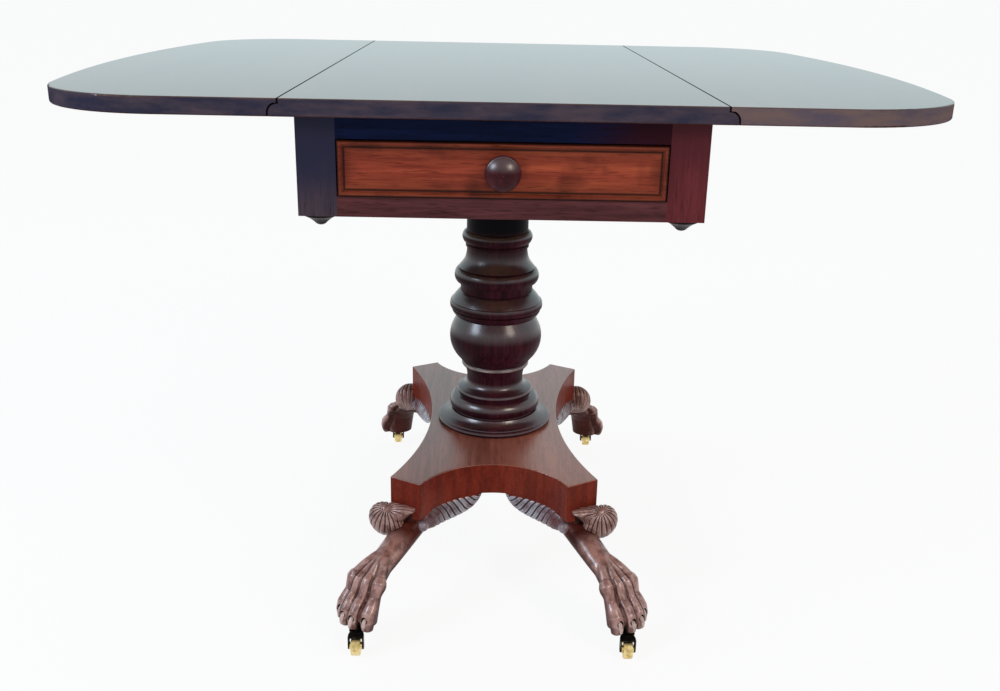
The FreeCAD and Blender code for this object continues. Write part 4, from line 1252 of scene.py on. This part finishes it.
@dataclass
class FrameAndDrawer:
    """Finishes of the frame under the top, its flies, and the drawer."""

    # The left posts are painted as shaded and the right posts as lit: two tones of one mahogany, dark and bluish on
    # the left and red on the right.
    shaded_left_upright: Mahogany = DriftingMahogany(
        "shaded_left_upright_mahogany", "#3a2f38", "#483a41", "#584648", Grain.ALONG_Z, far="#232338",
        start_mm=604.0, end_mm=690.0)
    lit_right_upright: Mahogany = DriftingMahogany(
        "lit_right_upright_mahogany", "#4a1a1f", "#5f252a", "#703034", Grain.ALONG_Z, far="#481a22",
        start_mm=640.0, end_mm=740.0)
    dark_rail: Mahogany = DriftingMahogany(
        "dark_rail_mahogany", "#050b22", "#0b1534", "#161f40", Grain.ALONG_X, far="#2d0e18", axis="X",
        start_mm=90.0, end_mm=190.0, specular=0.04)
    red_rail: Mahogany = Mahogany("red_rail_mahogany", "#452224", "#5f3336", "#744345", Grain.ALONG_X)
    side_rail: Mahogany = Mahogany("side_rail_mahogany", "#2a1210", "#43201b", "#552c24", Grain.ALONG_Y)
    front: Mahogany = FramedMahogany(
        "drawer_mahogany", "#6c251a", "#93402c", "#b05637", Grain.ALONG_X, patch_mm=60.0, roughness=0.34)
    knob: Mahogany = WaxedMahogany(
        "knob_mahogany", "#260b10", "#3c1319", "#542025", Grain.ALONG_Y, patch_mm=30.0, gloss=1.0,
        gloss_roughness=0.34, gloss_ior=1.7)
    drop: Mahogany = Mahogany("drop_mahogany", "#0d0809", "#1a1012", "#2b1b1d", Grain.ALONG_Z, patch_mm=20.0)
    lining: Deal = Deal("drawer_lining_deal", "#b08a5c", "#8a6238", Grain.ALONG_Y)
    cross_lining: Deal = Deal("cross_lining_deal", "#a8845a", "#80592f", Grain.ALONG_X)

    def dress(self, iron: Finish) -> None:
        """Give each piece of the frame and drawer its finish.

        Args:
            iron: finish of the pins and screws.
        """
        dress(["front_left_post", "rear_left_post"], self.shaded_left_upright.material())
        dress(["front_right_post", "rear_right_post"], self.lit_right_upright.material())
        dress(["corner_drops"], self.drop.material())
        dress(["front_top_rail"], self.dark_rail.material())
        dress(["front_bottom_rail", "rear_rail"], self.red_rail.material())
        dress(["left_outer_rail", "right_outer_rail", "left_fly", "right_fly"], self.side_rail.material())
        dress(["drawer_front", "drawer_bead"], self.front.material())
        dress(["drawer_knob"], self.knob.material())
        dress(["left_inner_rail", "right_inner_rail", "left_drawer_runner", "right_drawer_runner", "left_kicker",
               "right_kicker", "drawer_left_side", "drawer_right_side", "drawer_bottom"], self.lining.material())
        dress(["column_bearer", "drawer_back"], self.cross_lining.material())
        dress(["fly_pins", "top_screws"], iron)


@dataclass
class ColumnAndPlatform:
    """The column, turned with crisp quirks, and the finishes of the platform and the casters.

    The turning is given as pairs of radius and height in millimetres, from the foot's tenon to the top one.
    """

    turning: tuple[tuple[float, float], ...] = (
        (26.0, 149.0), (26.0, 193.0), (83.3, 193.2), (85.2, 194.6), (85.8, 197.0), (85.0, 199.4), (83.4, 200.6),
        (80.6, 200.9), (80.2, 202.0), (77.0, 203.2), (72.6, 205.2), (69.0, 208.2), (66.6, 212.2), (63.0, 212.8),
        (62.8, 213.8), (65.6, 215.8), (67.6, 219.6), (68.0, 224.0), (66.8, 229.0), (64.2, 233.0), (61.2, 235.6),
        (57.0, 236.2), (55.0, 237.2), (56.2, 239.6), (57.1, 242.6), (56.0, 245.6), (53.4, 247.4), (50.4, 248.0),
        (47.0, 250.0), (44.2, 252.8), (42.6, 256.4), (42.2, 262.0), (42.5, 268.0), (43.5, 273.0), (45.0, 277.2),
        (46.4, 280.4), (46.6, 281.6), (49.4, 282.0), (50.6, 283.8), (50.7, 286.0), (49.6, 288.2), (48.6, 288.6),
        (50.6, 289.4), (51.8, 291.2), (54.6, 294.6), (58.2, 298.8), (61.4, 303.0), (64.4, 308.4), (66.7, 314.2),
        (68.3, 320.6), (68.9, 327.4), (68.5, 334.4), (67.2, 341.0), (65.2, 346.4), (62.8, 351.4), (60.4, 356.0),
        (58.6, 359.4), (58.2, 360.2), (60.4, 361.2), (63.2, 364.2), (65.4, 367.6), (66.5, 370.8), (64.4, 371.4),
        (64.4, 372.6), (67.4, 373.0), (68.6, 374.6), (69.0, 377.4), (68.7, 381.0), (67.8, 383.6), (66.0, 384.4),
        (63.2, 389.2), (60.0, 393.2), (57.0, 396.6), (54.8, 399.0), (53.4, 399.6), (53.3, 402.0), (53.4, 405.6),
        (53.9, 409.4), (55.0, 412.6), (57.0, 413.0), (59.4, 413.8), (61.2, 416.4), (62.3, 420.0), (62.4, 424.0),
        (61.5, 428.0), (59.6, 431.2), (57.4, 432.8), (55.2, 433.2), (55.2, 434.4), (56.2, 435.0), (54.2, 437.4),
        (51.4, 440.8), (48.9, 444.6), (46.9, 448.6), (45.5, 453.6), (44.6, 459.0), (44.1, 465.4), (46.2, 465.9),
        (46.6, 469.6), (44.8, 470.2), (44.8, 471.2), (47.0, 471.8), (49.4, 474.2), (51.0, 477.6), (51.5, 481.0),
        (51.0, 484.4), (49.2, 487.4), (46.8, 489.2), (45.2, 489.6), (45.0, 492.0), (45.0, 603.9), (19.0, 604.0),
        (19.0, 624.0),
    )
    facets: int = 112
    crease: float = 32.0
    platform: Mahogany = EdgedMahogany(
        "platform_mahogany", "#6c382c", "#8f5242", "#a8644f", Grain.ALONG_Y, patch_mm=80.0, roughness=0.36,
        specular=0.05, gloss=1.0, gloss_roughness=0.32, gloss_ior=1.95, rim="#520600", rim_patch="#701a0a",
        rim_grain_mm=(9.0, 9.0, 60.0))
    column: Mahogany = TurnedMahogany(
        "column_mahogany", "#170a0e", "#2e1119", "#481d28", Grain.ALONG_Z, patch_mm=60.0, roughness=0.4,
        specular=0.04, gloss=1.0, gloss_roughness=0.28, gloss_ior=1.8)
    brass: Metal = Metal("worn_brass", "#f0dca0", "#c9ad6c", 6.0, 0.34)

    def build(self) -> None:
        """Turn the column."""
        rings = [Ring(Vector((0.0, 0.0, height)), Vector((0.0, radius, 0.0)), Vector((radius, 0.0, 0.0)))
                 for radius, height in self.turning]
        column = limb(rings, "turned_column", sides=self.facets)
        bpy.ops.object.shade_smooth_by_angle(angle=math.radians(self.crease))
        column.data.materials.append(self.column.material())
        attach(column, "frame")
        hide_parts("column")
        log.info("set %s", column.name)

    def dress(self, iron: Finish, platform: Finish) -> None:
        """Give each piece of the base its finish.

        Args:
            iron: finish of the forks and sockets.
            platform: finish of the platform, which the brackets share.
        """
        dress(["platform"], platform)
        dress([f"{corner.label}_caster_wheel" for corner in Corner], self.brass.material())
        dress([f"{corner.label}_caster_fork" for corner in Corner] + ["caster_sockets"], iron)


@dataclass(frozen=True)
class Lamp:
    """One soft round lamp: its place and aim in metres, its width, its power in watts and its colour."""

    name: str
    place: tuple[float, float, float]
    aim: tuple[float, float, float]
    size: float
    power: float
    colour: str

    def build(self) -> None:
        """Set the lamp."""
        bpy.ops.object.select_all(action="DESELECT")
        bpy.ops.object.light_add(type="AREA", location=self.place)
        lamp = bpy.context.active_object
        lamp.name = self.name
        lamp.data.shape = "DISK"
        lamp.data.size = self.size
        lamp.data.energy = self.power
        lamp.data.color = linear(self.colour)[:3]
        lamp.rotation_euler = (Vector(self.aim) - Vector(self.place)).to_track_quat("-Z", "Y").to_euler()


@dataclass
class Studio:
    """Pale floor, soft light and the camera at the photograph's viewing angle."""

    floor_half: float = 90.0
    floor_colour: str = "#f4f5f6"
    floor_glow: float = 0.9
    backdrop: str = "#fbfcfc"
    front_sky: str = "#c9c6c6"
    front_shown: str = "#e2e2e4"
    back_shown: str = "#e9fbff"
    back_sky: str = "#dbeff3"
    sky_strength: float = 0.9
    lamps: tuple[Lamp, ...] = (
        Lamp("key", (2.2, -2.4, 2.6), (0.0, 0.0, 0.5), 1.2, 42.0, "#fff0e0"),
        Lamp("window", (-2.6, -1.5, 2.3), (0.0, 0.0, 0.4), 1.3, 50.0, "#dcecff"))
    camera_mm: tuple[float, float, float] = (-14.05, -1502.55, 843.82)
    tilt: float = 19.568
    yaw: float = 0.803
    roll: float = 1.201
    lens: float = 37.8

    def build(self) -> None:
        """Set the floor, the light and the camera."""
        self._floor()
        self._sky()
        for lamp in self.lamps:
            lamp.build()
        self._camera()
        bpy.context.scene.view_settings.view_transform = "Standard"

    def _floor(self) -> None:
        """Lay the floor, which the camera and the gloss see as nearly white but for the shadow."""
        bpy.ops.object.select_all(action="DESELECT")
        bpy.ops.mesh.primitive_plane_add(size=2 * self.floor_half)
        floor = bpy.context.active_object
        floor.name = "floor"
        material, tree, shader = new_material("pale_floor")
        shader.inputs["Base Color"].default_value = linear(self.floor_colour)
        shader.inputs["Roughness"].default_value = 0.9
        shader.inputs["Specular IOR Level"].default_value = 0.0
        path = add_node(tree, "LightPath")
        seen = add_node(tree, "Math", {"operation": "MAXIMUM"}, {
            0: (path, "Is Camera Ray"), 1: (path, "Is Glossy Ray")})
        seen = add_node(tree, "Math", {"operation": "MAXIMUM"}, {
            0: seen, 1: (path, "Is Transmission Ray")})
        share = add_node(tree, "Math", {"operation": "MULTIPLY"}, {0: seen, 1: self.floor_glow})
        white = add_node(tree, "Emission", inputs={"Strength": 1.0})
        mixed = add_node(tree, "MixShader", inputs={
            0: share, 1: shader, 2: white})
        output = next(node for node in tree.nodes if node.type == "OUTPUT_MATERIAL")
        tree.links.new(mixed.outputs["Shader"], output.inputs["Surface"])
        floor.data.materials.append(material)

    def _sky(self) -> None:
        """Light everything softly, with a cool pale side behind the table."""
        world = bpy.data.worlds.new("studio")
        bpy.context.scene.world = world
        world.use_nodes = True
        tree = world.node_tree
        tree.nodes.clear()
        place = add_node(tree, "TexCoord")
        split = add_node(tree, "SeparateXYZ", inputs={"Vector": (place, "Generated")})
        share = add_node(tree, "MapRange", {"interpolation_type": "SMOOTHSTEP"}, {
            "Value": (split, "Y"), "From Min": -0.4, "From Max": 0.7})
        tone = add_node(tree, "Mix", {"data_type": "RGBA"}, {
            0: share, 6: linear(self.front_sky), 7: linear(self.back_sky)})
        shown = add_node(tree, "Mix", {"data_type": "RGBA"}, {
            0: share, 6: linear(self.front_shown), 7: linear(self.back_shown)})
        path = add_node(tree, "LightPath")
        mirrored = add_node(tree, "Math", {"operation": "MAXIMUM"}, {
            0: (path, "Is Glossy Ray"), 1: (path, "Is Transmission Ray")})
        tone = add_node(tree, "Mix", {"data_type": "RGBA"}, {
            0: mirrored, 6: (tone, 2), 7: (shown, 2)})
        glow = add_node(tree, "Background", inputs={
            "Color": (tone, 2), "Strength": self.sky_strength})
        white = add_node(tree, "Background", inputs={"Color": linear(self.backdrop), "Strength": 1.0})
        mixed = add_node(tree, "MixShader", inputs={
            0: (path, "Is Camera Ray"), 1: glow, 2: white})
        add_node(tree, "OutputWorld", inputs={"Surface": mixed})

    def _camera(self) -> None:
        """Stand the camera where the photograph was taken."""
        tilt, yaw, roll = (math.radians(angle) for angle in (self.tilt, self.yaw, self.roll))
        ahead = Vector((math.sin(yaw) * math.cos(tilt), math.cos(yaw) * math.cos(tilt), -math.sin(tilt)))
        level = Vector((math.cos(yaw), -math.sin(yaw), 0.0))
        upright = level.cross(ahead)
        across = level * math.cos(roll) + upright * math.sin(roll)
        up = upright * math.cos(roll) - level * math.sin(roll)
        bpy.ops.object.select_all(action="DESELECT")
        bpy.ops.object.camera_add()
        camera = bpy.context.active_object
        camera.name = "camera"
        camera.data.sensor_fit = "HORIZONTAL"
        camera.data.sensor_width = 36.0
        camera.data.lens = self.lens
        camera.data.clip_end = 200.0
        turn = Matrix((across, up, -ahead)).transposed().to_4x4()
        camera.matrix_world = Matrix.Translation(Vector(self.camera_mm) * MM) @ turn
        bpy.context.scene.camera = camera


def main() -> None:
    """Dress the table, carve its legs and brackets, and set the studio."""
    logging.basicConfig(level=logging.INFO, format="%(name)s: %(message)s")
    iron = Metal("dark_iron", "#3a3633", "#1d1a18", 8.0, 0.5).material()
    Top().dress(iron)
    FrameAndDrawer().dress(iron)
    base = ColumnAndPlatform()
    platform = base.platform.material()
    base.build()
    base.dress(iron, platform)
    CarvedLeg().build()
    Wings().build(platform)
    Studio().build()


if __name__ == "__main__":
    main()
